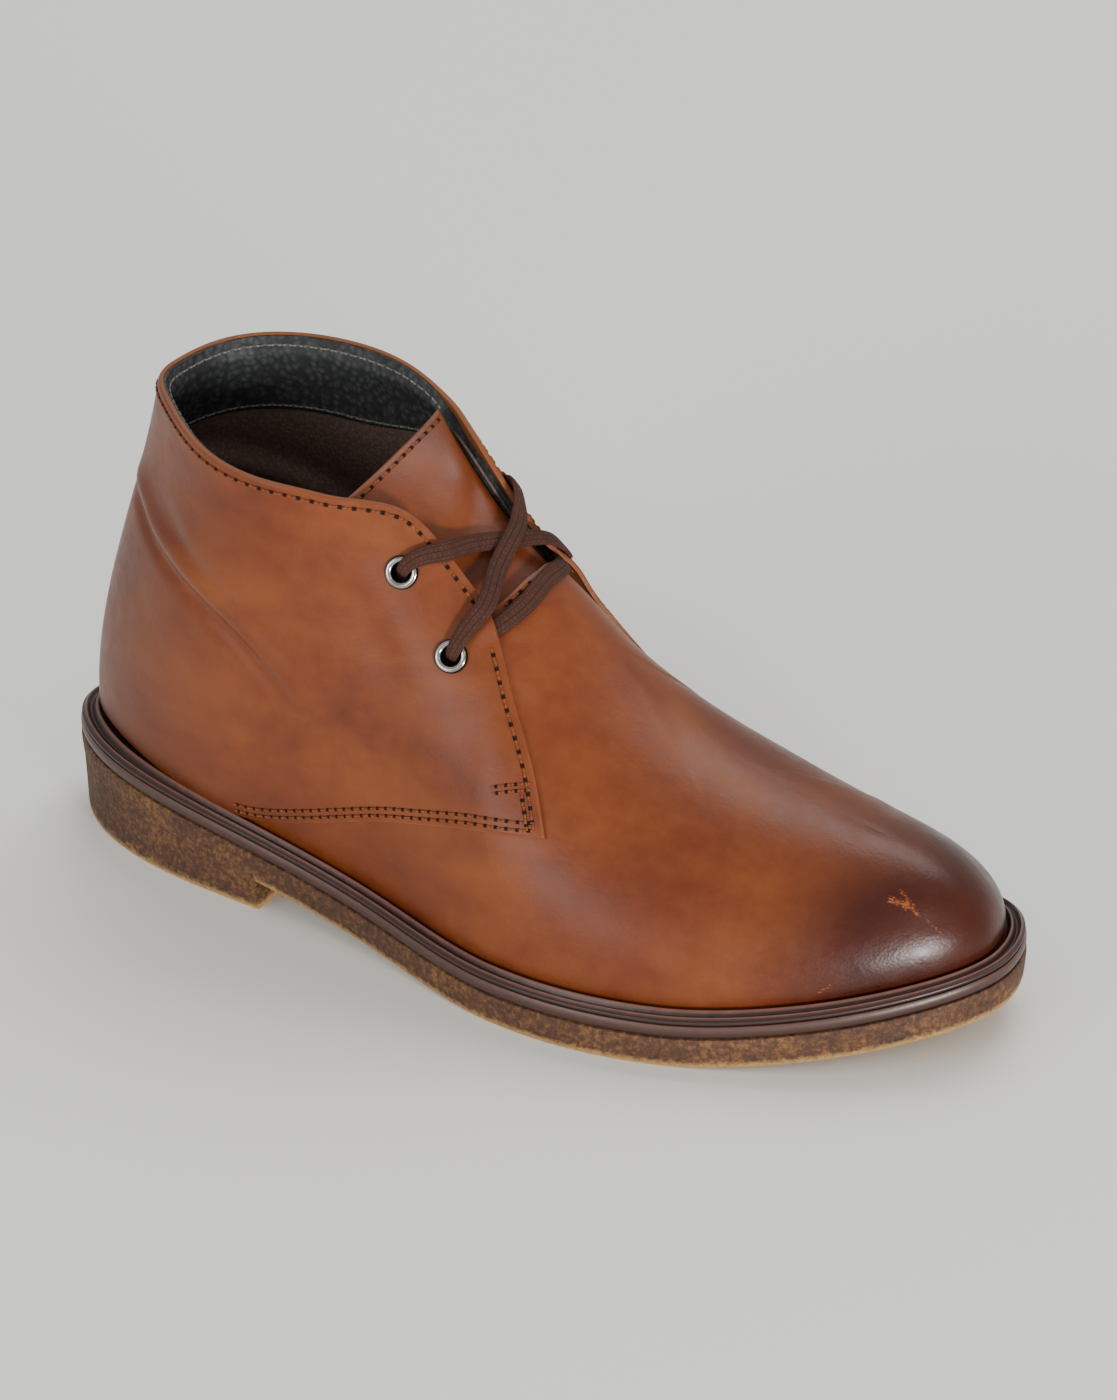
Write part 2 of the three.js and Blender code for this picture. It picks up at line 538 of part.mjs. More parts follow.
function eyeletShape(spot) {
  const low = -upperWall - 0.2;
  const seatOfFlange = gap + quarterWall + gap + 0.1;
  const top = seatOfFlange + eyelet.thick;
  const profile = [
    [eyelet.bore, low], [eyelet.tube, low], [eyelet.tube, seatOfFlange],
    [eyelet.flange, seatOfFlange], [eyelet.flange - 0.5, top], [eyelet.bore + 0.3, top],
    [eyelet.bore, low],
  ].map(([radius, z]) => new THREE.Vector2(radius, z));
  const ring = new THREE.LatheGeometry(profile, 14);
  ring.rotateX(Math.PI / 2);
  return geometryFrom(solidOf(standOnLast(ring, spot)));
}

// A flat layer of the sole: rings of edge points below and above, each closed across.
function slab(low, high) {
  const half = stepsRound / 2;
  const ring = ({ inset, z }) => placesRound.map(({ side, turn }) => {
    const { place } = soleEdge(side, turn, inset(side, turn));
    return place.setZ(z(place.x));
  });
  const points = [...ring(low), ...ring(high)];
  const triangles = [];
  for (let i = 0; i < stepsRound; i += 1) {
    const next = (i + 1) % stepsRound;
    triangles.push([i, next, next + stepsRound], [i, next + stepsRound, i + stepsRound]);
  }
  for (let i = 0; i < half; i += 1) {
    const [a, b] = [i, i + 1];
    const [c, d] = [(stepsRound - i) % stepsRound, stepsRound - i - 1];
    triangles.push([a, d, b], [a, c, d]);
    triangles.push([a + stepsRound, b + stepsRound, d + stepsRound]);
    triangles.push([a + stepsRound, d + stepsRound, c + stepsRound]);
  }
  return geometryOf(points, triangles);
}

function outsole() {
  const layer = slab(
    { inset: () => 0.9, z: underside },
    { inset: () => 0, z: (x) => underside(x) + outsoleThick },
  );
  const block = slab(
    { inset: () => 1.4, z: () => 0 },
    { inset: () => 0.8, z: (x) => underside(x) + 2 },
  );
  const back = wasm.Manifold.cube([heelLength + 10, 120, 60]).translate([-10, -60, -5]);
  return geometryFrom(solidOf(layer).add(solidOf(block).intersect(back)));
}

function midsole() {
  return slab(
    { inset: () => 0.2, z: (x) => underside(x) + midsoleLow },
    { inset: () => 0.2, z: (x) => underside(x) + midsoleLow + midsoleThick },
  );
}

function insole() {
  const inset = (side, turn) => curves[side].inset(turn) + upperWall + 0.8;
  return slab(
    { inset, z: (x) => underside(x) + seat },
    { inset, z: (x) => underside(x) + seat + insoleThick },
  );
}

// The welt runs all round in the corner between sole and upper: a flat, two ribs and a groove.
const weltProfile = [
  { across: 0, up: 0 }, { across: 0, up: 1.3 }, { across: 0.22, up: 1.9 }, { across: 0.4, up: 1.1 },
  { across: 0.72, up: 2.9 }, { across: 1, up: 2.1 }, { across: 1, up: 0 },
];

function welt() {
  const points = placesRound.flatMap(({ side, turn }) => {
    const innerInset = curves[side].inset(turn) - weltClear;
    return weltProfile.map(({ across, up }) => {
      const inset = THREE.MathUtils.lerp(weltOverhang, innerInset, across);
      const { place } = soleEdge(side, turn, inset);
      return place.setZ(underside(place.x) + seat + up);
    });
  });
  const count = weltProfile.length;
  const triangles = [];
  for (let i = 0; i < stepsRound; i += 1) {
    const next = (i + 1) % stepsRound;
    for (let j = 0; j < count; j += 1) {
      const [a, b] = [i * count + j, next * count + j];
      const [c, d] = [next * count + ((j + 1) % count), i * count + ((j + 1) % count)];
      triangles.push([a, b, c], [a, c, d]);
    }
  }
  return geometryOf(points, triangles);
}

function upper() {
  let solid = solidOf(lastShell(0, -upperWall));
  for (const side of ['outer', 'inner']) solid = solid.subtract(throatCutter(side));
  for (const spot of eyelets) solid = solid.subtract(eyeletHole(spot));
  return geometryFrom(solid);
}

function quarter(side) {
  let solid = solidOf(lastShell(gap + quarterWall, gap)).intersect(quarterCutter(side));
  for (const spot of eyelets.filter((one) => one.side === side)) {
    solid = solid.subtract(eyeletHole(spot));
  }
  return geometryFrom(solid);
}

const tongueCurves = {
  x: curve(tongueMiddle, 'along', 'x'),
  z: curve(tongueMiddle, 'along', 'z'),
  turn: curve(tongueSide, 'along', 'turn'),
  height: curve(tongueSide, 'along', 'height'),
  deep: curve(tongueSide, 'along', 'deep'),
};

// A place on the tongue's upper face. Across it is a bow through one side at -1, the middle
// line at 0 and the other side at 1.
function tonguePoint(along, across) {
  const c = tongueCurves;
  const side = [c.turn(along), c.height(along), -c.deep(along)];
  const a = onLast('outer', ...side);
  const b = onLast('inner', ...side);
  const middle = new THREE.Vector3(c.x(along), 0, c.z(along));
  const half = b.clone().sub(a).multiplyScalar(0.5);
  const bow = b.add(a).multiplyScalar(0.5).sub(middle);
  return middle.addScaledVector(half, across).addScaledVector(bow, across * across);
}

function tongueNormal(along, across) {
  const step = 0.01;
  const t = THREE.MathUtils.clamp(along, step, 1 - step);
  const s = THREE.MathUtils.clamp(across, step - 1, 1 - step);
  const sideways = tonguePoint(t, s + step).sub(tonguePoint(t, s - step));
  const upward = tonguePoint(t + step, s).sub(tonguePoint(t - step, s));
  return sideways.cross(upward).normalize();
}

function onTongue(along, across, lift) {
  return tonguePoint(along, across).addScaledVector(tongueNormal(along, across), lift);
}

function tongue() {
  const [rows, columns] = [12, 12];
  const layer = (lift) => Array.from({ length: rows + 1 }, (_, i) => Array.from(
    { length: columns + 1 },
    (__, j) => onTongue(i / rows, (2 * j) / columns - 1, lift),
  ));
  return geometryFrom(solidOf(sheet(layer(-tongueWall), layer(0))));
}

// The lace is a flat oval drawn along its route, its flat side along the face it lies on.
function laceStrip() {
  const placeOf = (row) => (row.on === 'tongue'
    ? onTongue(row.along, row.across, row.lift)
    : onLast(row.on, row.turn, row.height, row.lift));
  const normalOf = (row) => (row.on === 'tongue'
    ? tongueNormal(row.along, row.across)
    : lastNormal(row.on, row.turn, row.height));
  const route = new THREE.CatmullRomCurve3(lace.map(placeOf), false, 'centripetal');
  const rowAt = (share) => {
    const where = share * (lace.length - 1);
    const i = Math.min(Math.floor(where), lace.length - 2);
    const part = where - i;
    return {
      normal: normalOf(lace[i]).lerp(normalOf(lace[i + 1]), part),
      wide: THREE.MathUtils.lerp(lace[i].wide, lace[i + 1].wide, part),
      thick: THREE.MathUtils.lerp(lace[i].thick, lace[i + 1].thick, part),
    };
  };
  const points = [];
  let across = new THREE.Vector3(1, 0, 0);
  for (let i = 0; i <= laceSteps; i += 1) {
    const share = i / laceSteps;
    const { normal, wide, thick } = rowAt(share);
    const ahead = route.getTangent(share);
    const wanted = ahead.clone().cross(normal);
    if (wanted.dot(across) < 0) wanted.negate();
    const steep = Math.abs(ahead.dot(normal));
    across = across.clone().lerp(wanted.normalize(), steep > 0.95 ? 0 : 0.7);
    across.addScaledVector(ahead, -across.dot(ahead)).normalize();
    const up = ahead.clone().cross(across);
    for (let j = 0; j < laceSides; j += 1) {
      const angle = (2 * Math.PI * (j + 0.5)) / laceSides;
      points.push(route.getPoint(share)
        .addScaledVector(across, (wide / 2) * Math.cos(angle))
        .addScaledVector(up, (thick / 2) * Math.sin(angle)));
    }
  }
  const triangles = [];
  for (let i = 0; i < laceSteps; i += 1) {
    for (let j = 0; j < laceSides; j += 1) {
      const [a, b] = [i * laceSides + j, i * laceSides + ((j + 1) % laceSides)];
      triangles.push([a, b, b + laceSides], [a, b + laceSides, a + laceSides]);
    }
  }
  const end = laceSteps * laceSides;
  for (let j = 1; j < laceSides - 1; j += 1) {
    triangles.push([0, j + 1, j], [end, end + j, end + j + 1]);
  }
  return geometryOf(points, triangles);
}

const group = new THREE.Group();

function addPiece(name, geometry, look) {
  const mesh = new THREE.Mesh(geometry, new THREE.MeshStandardMaterial(look));
  mesh.name = name;
  group.add(mesh);
}

addPiece('outsole', outsole(), looks.outsole);
addPiece('midsole', midsole(), looks.midsole);
addPiece('welt', welt(), looks.welt);
addPiece('insole', insole(), looks.insole);
addPiece('upper', upper(), looks.upper);
addPiece('quarter_outer', quarter('outer'), looks.quarter);
addPiece('quarter_inner', quarter('inner'), looks.quarter);
addPiece('tongue', tongue(), looks.tongue);
for (const spot of eyelets) addPiece(spot.name, eyeletShape(spot), looks.eyelet);
addPiece('lace', laceStrip(), looks.lace);

const box = new THREE.Box3().setFromObject(group);
group.position.set(-(box.min.x + box.max.x) / 2, -(box.min.y + box.max.y) / 2, -box.min.z);

export default group;
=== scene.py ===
import math

import bmesh
import bpy
import numpy as np
from mathutils import Matrix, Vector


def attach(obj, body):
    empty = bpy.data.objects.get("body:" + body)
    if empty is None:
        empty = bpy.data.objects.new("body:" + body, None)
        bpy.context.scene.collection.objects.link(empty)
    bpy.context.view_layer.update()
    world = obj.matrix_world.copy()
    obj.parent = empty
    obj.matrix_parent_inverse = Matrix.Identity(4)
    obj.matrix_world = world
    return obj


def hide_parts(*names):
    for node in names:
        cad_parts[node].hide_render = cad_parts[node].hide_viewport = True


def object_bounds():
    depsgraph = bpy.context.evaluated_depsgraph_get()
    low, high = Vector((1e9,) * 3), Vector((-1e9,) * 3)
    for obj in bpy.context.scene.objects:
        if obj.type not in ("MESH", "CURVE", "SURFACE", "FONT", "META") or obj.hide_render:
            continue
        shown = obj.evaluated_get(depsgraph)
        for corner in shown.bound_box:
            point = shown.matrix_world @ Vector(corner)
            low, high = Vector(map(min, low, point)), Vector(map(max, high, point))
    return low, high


# A chukka boot for the right foot. Shapes are worked out in millimetres with the back of the
# sole at x = 0, the toe towards +X and the inner side towards +Y, and toFrame() places them.
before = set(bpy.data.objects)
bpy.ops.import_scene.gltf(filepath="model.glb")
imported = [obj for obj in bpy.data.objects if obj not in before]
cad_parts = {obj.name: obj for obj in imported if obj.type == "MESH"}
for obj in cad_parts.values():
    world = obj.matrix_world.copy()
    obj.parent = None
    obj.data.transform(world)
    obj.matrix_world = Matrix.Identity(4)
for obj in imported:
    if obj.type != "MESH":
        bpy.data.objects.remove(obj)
cadBox = [[float(value) for value in corner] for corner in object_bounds()]
print("frame loaded")

last = {
    "length": 303.0,
    "heelRise": 16.0,
    "treadFrom": 172.0,
    "treadTo": 224.0,
    "toeSpring": 12.9,
    "seat": 13.7,            # upper, welt and insole stand this far above the underside
    "throatTurn": 0.47,      # the ridge ends and the throat opens here
    "throatPace": (-325.0, 290.0),
    "backPace": 290.0,
    "headPace": 220.0,
}
soleShares = {
    "outer": {"sign": -1,
              "at": [1, 0.945, 0.84, 0.7, 0.56, 0.42, 0.28, 0.14, 0.045, 0],
              "wide": [0, 26.5, 46.7, 61.5, 61.1, 49.2, 42.3, 35.8, 22, 0]},
    "inner": {"sign": 1,
              "at": [1, 0.95, 0.86, 0.74, 0.6, 0.46, 0.3, 0.15, 0.05, 0],
              "wide": [0, 32, 42.9, 48.8, 44.4, 35.8, 34, 35, 25.1, 0]},
}
foot = {
    "turn": [0, 0.15, 0.3, 0.45, 0.6, 0.75, 0.9, 1],
    "inset": [6.4, 6.4, 6.2, 6, 5.8, 6.2, 7.8, 7.8],
    "outer": {"lean": [14, 13, 10, 8, 8, 6, 1, 3], "rise": [15, 17, 24, 33, 40, 40, 38, 36]},
    "inner": {"lean": [14, 12, 6, 0, 2, 7, 5, 3], "rise": [15, 18, 26, 36, 42, 42, 38, 36]},
}
ridge = {
    "turn": [0, 0.12, 0.24, 0.36, 0.42, 0.47],
    "x": [262, 252, 226, 190, 170, 153],
    "z": [55, 57, 63.5, 79.5, 94.3, 110.8],
}
collar = {
    "turn": [0.47, 0.5, 0.53, 0.57, 0.61, 0.65, 0.7, 0.77, 0.84, 0.92, 1],
    "outer": {"x": [153, 144, 135.5, 126, 117.5, 110.5, 102, 86, 66, 44.5, 33],
              "y": [0, -2.5, -7.5, -14.5, -21, -26, -30, -33, -28.5, -14, 4],
              "z": [110.8, 119.3, 127.3, 134, 136.5, 135.3, 134, 134.5, 136.3, 140, 141.5]},
    "inner": {"x": [153, 144, 135.5, 126, 118, 111, 102, 84, 60, 38.5, 33],
              "y": [0, 2.5, 7, 13.5, 20, 26, 31, 36, 36, 26, 4],
              "z": [110.8, 119.8, 128.3, 135.8, 139, 139.3, 140, 142.8, 143.4, 142, 141.5]},
}
head = {
    "turn": [0, 0.06, 0.14, 0.24, 0.36, 0.42, 0.47, 0.5, 0.53, 0.57, 0.61, 0.66, 0.71, 0.77,
             0.84, 0.92, 1],
    "x": [-22, -18, -9, -2, 0, 0, -1, -1.5, -2, -2, -3, -4, -3, 0, 3, 6, 8],
    "z": [3, 2.5, 1.5, 0, 0, 0, 0, 1.5, 4, 8, 17, 27, 34, 38, 38, 38, 38],
    "outer": {"y": [0, 12, 22, 28, 30, 28, 25, 20.5, 15, 9, 6, 4, 2, 0, 0, 0, 0]},
    "inner": {"y": [0, -12, -20, -24, -25, -23.5, -21.5, -18, -13.5, -8.5, -7, -6, -4, -3, -2,
                    0, 0]},
}


def bend(knots, values, at, slopes=None):
    # cubic spline: second slopes solve the usual three-term system, with straight ends
    # or with the two end slopes given
    knots = np.asarray(knots, float)
    values = np.asarray(values, float)
    count = len(knots)
    gaps = np.diff(knots)
    rise = np.diff(values) / gaps
    system = np.zeros((count, count))
    right = np.zeros(count)
    mid = np.arange(1, count - 1)
    system[mid, mid - 1] = gaps[:-1]
    system[mid, mid] = 2 * (gaps[:-1] + gaps[1:])
    system[mid, mid + 1] = gaps[1:]
    right[mid] = 6 * (rise[1:] - rise[:-1])
    if slopes is None:
        system[0, 0] = system[-1, -1] = 1
    else:
        system[0, :2] = 2 * gaps[0], gaps[0]
        system[-1, -2:] = gaps[-1], 2 * gaps[-1]
        right[0] = 6 * (rise[0] - slopes[0])
        right[-1] = 6 * (slopes[1] - rise[-1])
    second = np.linalg.solve(system, right)
    at = np.clip(at, knots[0], knots[-1])
    k = np.clip(np.searchsorted(knots, at, side="right") - 1, 0, count - 2)
    span, done, left = gaps[k], at - knots[k], knots[k + 1] - at
    return ((second[k] * left ** 3 + second[k + 1] * done ** 3) / (6 * span)
            + (values[k] / span - second[k] * span / 6) * left
            + (values[k + 1] / span - second[k + 1] * span / 6) * done)


def smooth(value):
    # 0 below 0, 1 above 1, and 3v² - 2v³ between
    value = np.clip(value, 0, 1)
    return value * value * (3 - 2 * value)


def unit(vectors):
    return vectors / np.maximum(np.linalg.norm(vectors, axis=-1, keepdims=True), 1e-9)


def soleEdge(side, turn, inset):
    # the sole's outline as splines over its share of chord length, and its outward normal;
    # the outline is moved in along that normal by inset
    table = soleShares[side]
    x = np.array(table["at"]) * last["length"]
    y = np.array(table["wide"], float) * table["sign"]
    run = np.concatenate([[0], np.cumsum(np.hypot(np.diff(x), np.diff(y)))])
    sign, total = table["sign"], run[-1]

    def outline(t):
        return np.stack([bend(run / total, x, t, (0, 0)),
                         bend(run / total, y, t, (sign * total, -sign * total))], -1)

    ahead = outline(np.minimum(turn + 1e-4, 1)) - outline(np.maximum(turn - 1e-4, 0))
    out = unit(np.stack([ahead[..., 1], -ahead[..., 0]], -1)) * sign
    return outline(turn) - out * np.asarray(inset)[..., None], out


def underside(x):
    # sine-squared wave up to the heel, flat tread, then a power of 1.7 up to the toe
    toHeel = np.clip((last["treadFrom"] - x) / last["treadFrom"], 0, 1)
    toToe = np.clip((x - last["treadTo"]) / (last["length"] - last["treadTo"]), 0, None)
    return (last["heelRise"] * np.sin(math.pi / 2 * toHeel ** 0.9) ** 2
            + last["toeSpring"] * toToe ** 1.7)


def lastPoint(side, turn, height):
    # one cubic per turn, (1-h)³A + 3(1-h)²hB + 3(1-h)h²C + h³D: A on the sole, B above it
    # along the lean, D on the top line and C before it along the head's handle
    turn, height = np.broadcast_arrays(np.asarray(turn, float), np.asarray(height, float))
    place, out = soleEdge(side, turn, bend(foot["turn"], foot["inset"], turn, (0, 0)))
    lean = np.radians(bend(foot["turn"], foot[side]["lean"], turn, (0, 0)))
    rise = bend(foot["turn"], foot[side]["rise"], turn, (0, 0))
    start = np.concatenate([place, (underside(place[..., 0]) + last["seat"])[..., None]], -1)
    raised = np.concatenate([out * (np.sin(lean) * rise)[..., None],
                             (np.cos(lean) * rise)[..., None]], -1)
    paceX, paceZ = last["throatPace"]
    backY = -soleShares[side]["sign"] * last["backPace"]
    onRidge = np.stack([bend(ridge["turn"], ridge["x"], turn, (0, paceX)), 0 * turn,
                        bend(ridge["turn"], ridge["z"], turn, (0, paceZ))], -1)
    onCollar = np.stack([bend(collar["turn"], collar[side]["x"], turn, (paceX, 0)),
                         bend(collar["turn"], collar[side]["y"], turn, (0, backY)),
                         bend(collar["turn"], collar[side]["z"], turn, (paceZ, 0))], -1)
    end = np.where((turn < last["throatTurn"])[..., None], onRidge, onCollar)
    headY = -soleShares[side]["sign"] * last["headPace"]
    arrive = np.stack([bend(head["turn"], head["x"], turn, (0, 0)),
                       bend(head["turn"], head[side]["y"], turn, (headY, 0)),
                       bend(head["turn"], head["z"], turn, (0, 0))], -1)
    h = height[..., None]
    g = 1 - h
    return (g ** 3 * start + 3 * g * g * h * (start + raised)
            + 3 * g * h * h * (end - arrive) + h ** 3 * end)


def lastNormal(side, turn, height):
    # cross product of the slopes along turn and height, level across the ridge and the toe
    step = 0.002
    t = np.clip(turn, step, 1 - step)
    h = np.minimum(height, 0.992)
    along = lastPoint(side, t + step, h) - lastPoint(side, t - step, h)
    up = lastPoint(side, t, h + step) - lastPoint(side, t, h - step)
    normal = unit(np.cross(along, up)) * soleShares[side]["sign"]
    middle = ((height > 0.9995) & (turn <= last["throatTurn"])) | (turn < 1e-6)
    normal[..., 1] = np.where(middle, 0, normal[..., 1])
    return unit(normal)


outlineY = np.concatenate([soleEdge(side, np.linspace(0, 1, 2000), 0.0)[0][:, 1]
                           for side in soleShares])
shift = np.array([cadBox[0][0] * 1000, cadBox[0][1] * 1000 - outlineY.min(), 0.0])


def toFrame(points):
    return (np.asarray(points) + shift) / 1000


# Folds that walking has pressed into the leather: a trough along a path of turns and heights,
# with a swelling on its upper side.
folds = [
    {"side": "outer", "turn": [0.985, 0.937, 0.892, 0.847, 0.778, 0.722, 0.668, 0.63],
     "height": [0.7, 0.677, 0.635, 0.607, 0.547, 0.46, 0.367, 0.3],
     "deep": 1.7, "wide": 3.0, "swell": 1.3, "fade": (0.12, 0.45)},
    {"side": "inner", "turn": [0.985, 0.94, 0.89, 0.84, 0.77, 0.7],
     "height": [0.7, 0.68, 0.64, 0.6, 0.54, 0.47],
     "deep": 1.6, "wide": 3.4, "swell": 1.2, "fade": (0.12, 0.4)},
    {"side": "outer", "turn": [0.9, 0.86, 0.81, 0.76, 0.72], "height": [0.76, 0.72, 0.66, 0.6, 0.53],
     "deep": 0.6, "wide": 3.6, "swell": 0.4, "fade": (0.3, 0.4)},
    {"side": "outer", "turn": [0.66, 0.63, 0.6, 0.575, 0.55], "height": [0.74, 0.66, 0.57, 0.5, 0.42],
     "deep": 0.6, "wide": 5.5, "swell": 0.5, "fade": (0.3, 0.4)},
    {"side": "outer", "turn": [0.445, 0.435, 0.415, 0.385, 0.35], "height": [0.98, 0.85, 0.72, 0.6, 0.5],
     "deep": 0.35, "wide": 4.5, "swell": 0.3, "fade": (0.3, 0.5)},
    {"side": "outer", "turn": [0.4, 0.385, 0.36, 0.325, 0.29], "height": [1.0, 0.86, 0.72, 0.58, 0.46],
     "deep": 0.4, "wide": 4.5, "swell": 0.35, "fade": (0.35, 0.5)},
    {"side": "outer", "turn": [0.335, 0.325, 0.3, 0.27, 0.24], "height": [1.0, 0.86, 0.72, 0.58, 0.45],
     "deep": 0.35, "wide": 4.2, "swell": 0.3, "fade": (0.35, 0.5)},
    {"side": "inner", "turn": [0.38, 0.365, 0.34, 0.31], "height": [1.0, 0.84, 0.66, 0.5],
     "deep": 0.5, "wide": 4.5, "swell": 0.4, "fade": (0.3, 0.4)},
]


def relief(points):
    # for each fold, with d the signed distance to its path and f its fade along it:
    # f (swell exp(-((d-1.5w)/1.5w)²) - deep exp(-(d/w)²)); the folds are summed
    total = np.zeros(points.shape[:-1])
    flat = points.reshape(-1, 3)
    for fold in folds:
        share = np.linspace(0, 1, 240)
        knots = np.linspace(0, 1, len(fold["turn"]))
        turn = bend(knots, fold["turn"], share)
        height = bend(knots, fold["height"], share)
        path = lastPoint(fold["side"], turn, height)
        ahead = unit(np.gradient(path, axis=0))
        above = unit(np.cross(lastNormal(fold["side"], turn, height), ahead))
        above *= np.sign(above[:, 2]).mean() or 1
        near = np.linalg.norm(flat - path.mean(0), axis=1) < 95
        part = flat[near]
        square = (path ** 2).sum(1) - 2 * part @ path.T
        k = square.argmin(1)
        d = ((part - path[k]) * above[k]).sum(-1)
        fadeIn, fadeOut = fold["fade"]
        fade = smooth(share / fadeIn) * smooth((1 - share) / fadeOut)
        wide = fold["wide"]
        shape = (fold["swell"] * np.exp(-((d - 1.5 * wide) / (1.5 * wide)) ** 2)
                 - fold["deep"] * np.exp(-(d / wide) ** 2))
        out = np.zeros(len(flat))
        out[near] = fade[k] * shape
        total += out.reshape(total.shape)
    return total


def gridQuads(rows, columns, closedRows=False, closedColumns=False):
    i = np.arange(rows if closedRows else rows - 1)
    j = np.arange(columns if closedColumns else columns - 1)
    i, j = np.meshgrid(i, j, indexing="ij")
    nextI, nextJ = (i + 1) % rows, (j + 1) % columns
    corners = [i * columns + j, nextI * columns + j, nextI * columns + nextJ, i * columns + nextJ]
    return np.stack(corners, -1).reshape(-1, 4)


def volumeOf(points, quads):
    # a sixth of the sum of a·(b×c) over each face's two triangles
    a, b, c, d = (points[quads[:, n]] for n in range(4))
    return ((a * np.cross(b, c)).sum() + (a * np.cross(c, d)).sum()) / 6


def makePiece(name, points, quads, material, stands=(), values=None, uv=None,
              crease=38):
    # points in millimetres; values are numbers painted on the points; doubles are merged
    points = np.asarray(points, float).reshape(-1, 3)
    used, quads = np.unique(quads, return_inverse=True)
    quads = quads.reshape(-1, 4)
    points = points[used]
    if volumeOf(points, quads) < 0:
        quads = quads[:, ::-1]
    mesh = bpy.data.meshes.new(name)
    mesh.vertices.add(len(points))
    mesh.vertices.foreach_set("co", toFrame(points).astype(np.float32).ravel())
    mesh.loops.add(quads.size)
    mesh.loops.foreach_set("vertex_index", quads.astype(np.int32).ravel())
    mesh.polygons.add(len(quads))
    mesh.polygons.foreach_set("loop_start", np.arange(0, quads.size, 4, dtype=np.int32))
    mesh.update(calc_edges=True)
    for key, numbers in (values or {}).items():
        layer = mesh.attributes.new(key, "FLOAT", "POINT")
        layer.data.foreach_set("value", np.asarray(numbers, np.float32).ravel()[used])
    if uv is not None:
        layer = mesh.uv_layers.new(name="millimetres")
        layer.data.foreach_set("uv", uv.reshape(-1, 2)[used][quads.ravel()].astype(np.float32).ravel())
    work = bmesh.new()
    work.from_mesh(mesh)
    bmesh.ops.remove_doubles(work, verts=work.verts, dist=2e-6)
    work.to_mesh(mesh)
    work.free()
    mesh.validate()
    mesh.polygons.foreach_set("use_smooth", np.ones(len(mesh.polygons), bool))
    mesh.set_sharp_from_angle(angle=math.radians(crease))
    piece = bpy.data.objects.new(name, mesh)
    bpy.context.scene.collection.objects.link(piece)
    mesh.materials.append(material)
    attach(piece, "root")
    if stands:
        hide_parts(*stands)
    return piece


def sheetParts(front, back, startRim=True, holes=()):
    # a closed sheet: the front grid, the back grid turned over, and a rim round both; each
    # hole drops the cells within its radius of an axis, and its border moves onto that radius
    rows, columns = front.shape[:2]
    face = np.arange(rows * columns).reshape(rows, columns)
    rear = face + rows * columns
    middle = (front[:-1, :-1] + front[1:, 1:]) / 2
    gone = np.zeros(middle.shape[:2], bool)
    for centre, axis, radius in holes:
        gone |= acrossAxis(middle, centre, axis, radius)[1] < radius
    touched = np.zeros((2, rows, columns), bool)
    for n, cells in enumerate((gone, ~gone)):
        for i in (0, 1):
            for j in (0, 1):
                touched[n, i:rows - 1 + i, j:columns - 1 + j] |= cells
    border = touched.all(0)
    for centre, axis, radius in holes:
        for sheet in (front, back):
            away, far = acrossAxis(sheet, centre, axis, radius)
            near = border & (far < radius * 1.8)
            sheet[near] += (away * (radius / np.maximum(far, 1e-6) - 1)[..., None])[near]
    grid = gridQuads(rows, columns)[~gone.ravel()]
    parts = [grid, (grid + rows * columns)[:, ::-1]]
    low, high = gone[:-1] & ~gone[1:], gone[1:] & ~gone[:-1]
    a, b, c, d = face[1:-1, :-1], face[1:-1, 1:], rear[1:-1, 1:], rear[1:-1, :-1]
    parts += [np.stack([a, b, c, d], -1)[low], np.stack([b, a, d, c], -1)[high]]
    low, high = gone[:, :-1] & ~gone[:, 1:], gone[:, 1:] & ~gone[:, :-1]
    a, b, c, d = face[1:, 1:-1], face[:-1, 1:-1], rear[:-1, 1:-1], rear[1:, 1:-1]
    parts += [np.stack([a, b, c, d], -1)[low], np.stack([b, a, d, c], -1)[high]]
    parts.append(np.stack([face[1:, 0], face[:-1, 0], rear[:-1, 0], rear[1:, 0]], -1))
    parts.append(np.stack([face[:-1, -1], face[1:, -1], rear[1:, -1], rear[:-1, -1]], -1))
    parts.append(np.stack([face[-1, 1:], face[-1, :-1], rear[-1, :-1], rear[-1, 1:]], -1))
    if startRim:
        parts.append(np.stack([face[0, :-1], face[0, 1:], rear[0, 1:], rear[0, :-1]], -1))
    return np.concatenate([front.reshape(-1, 3), back.reshape(-1, 3)]), np.concatenate(parts)


def acrossAxis(points, centre, axis, radius):
    # offset from the axis and its length, very long beyond 5 mm along the axis
    offset = points - centre
    along = (offset * axis).sum(-1, keepdims=True)
    away = offset - axis * along
    return away, np.where(np.abs(along[..., 0]) < 5, np.linalg.norm(away, axis=-1), 1e3 * radius)


def edgeSteps(count, size, soft=1.2):
    # even steps from 0 to 1 with three more close to each end, for a soft edge soft mm wide
    near = np.array([0, 0.12, 0.4, 0.75]) * soft / size
    inner = np.linspace(soft / size, 1 - soft / size, count)
    return np.concatenate([near, inner, 1 - near[::-1]])


def edgeDistance(steps, size, ends=(True, True)):
    # millimetres to the nearer open end
    far = np.full_like(steps, 1e3)
    low = steps * size if ends[0] else far
    high = (1 - steps) * size if ends[1] else far
    return np.minimum(low, high)


def rolled(distance, deep=0.45, soft=1.2):
    # how far a cut edge rounds down: deep times (1 - d/soft)², inside the soft edge
    return deep * np.clip(1 - distance / soft, 0, 1) ** 2


def colour(code):
    # sRGB hex to linear
    parts = [int(code[i:i + 2], 16) / 255 for i in (1, 3, 5)]
    return [v / 12.92 if v <= 0.04045 else ((v + 0.055) / 1.055) ** 2.4 for v in parts] + [1]


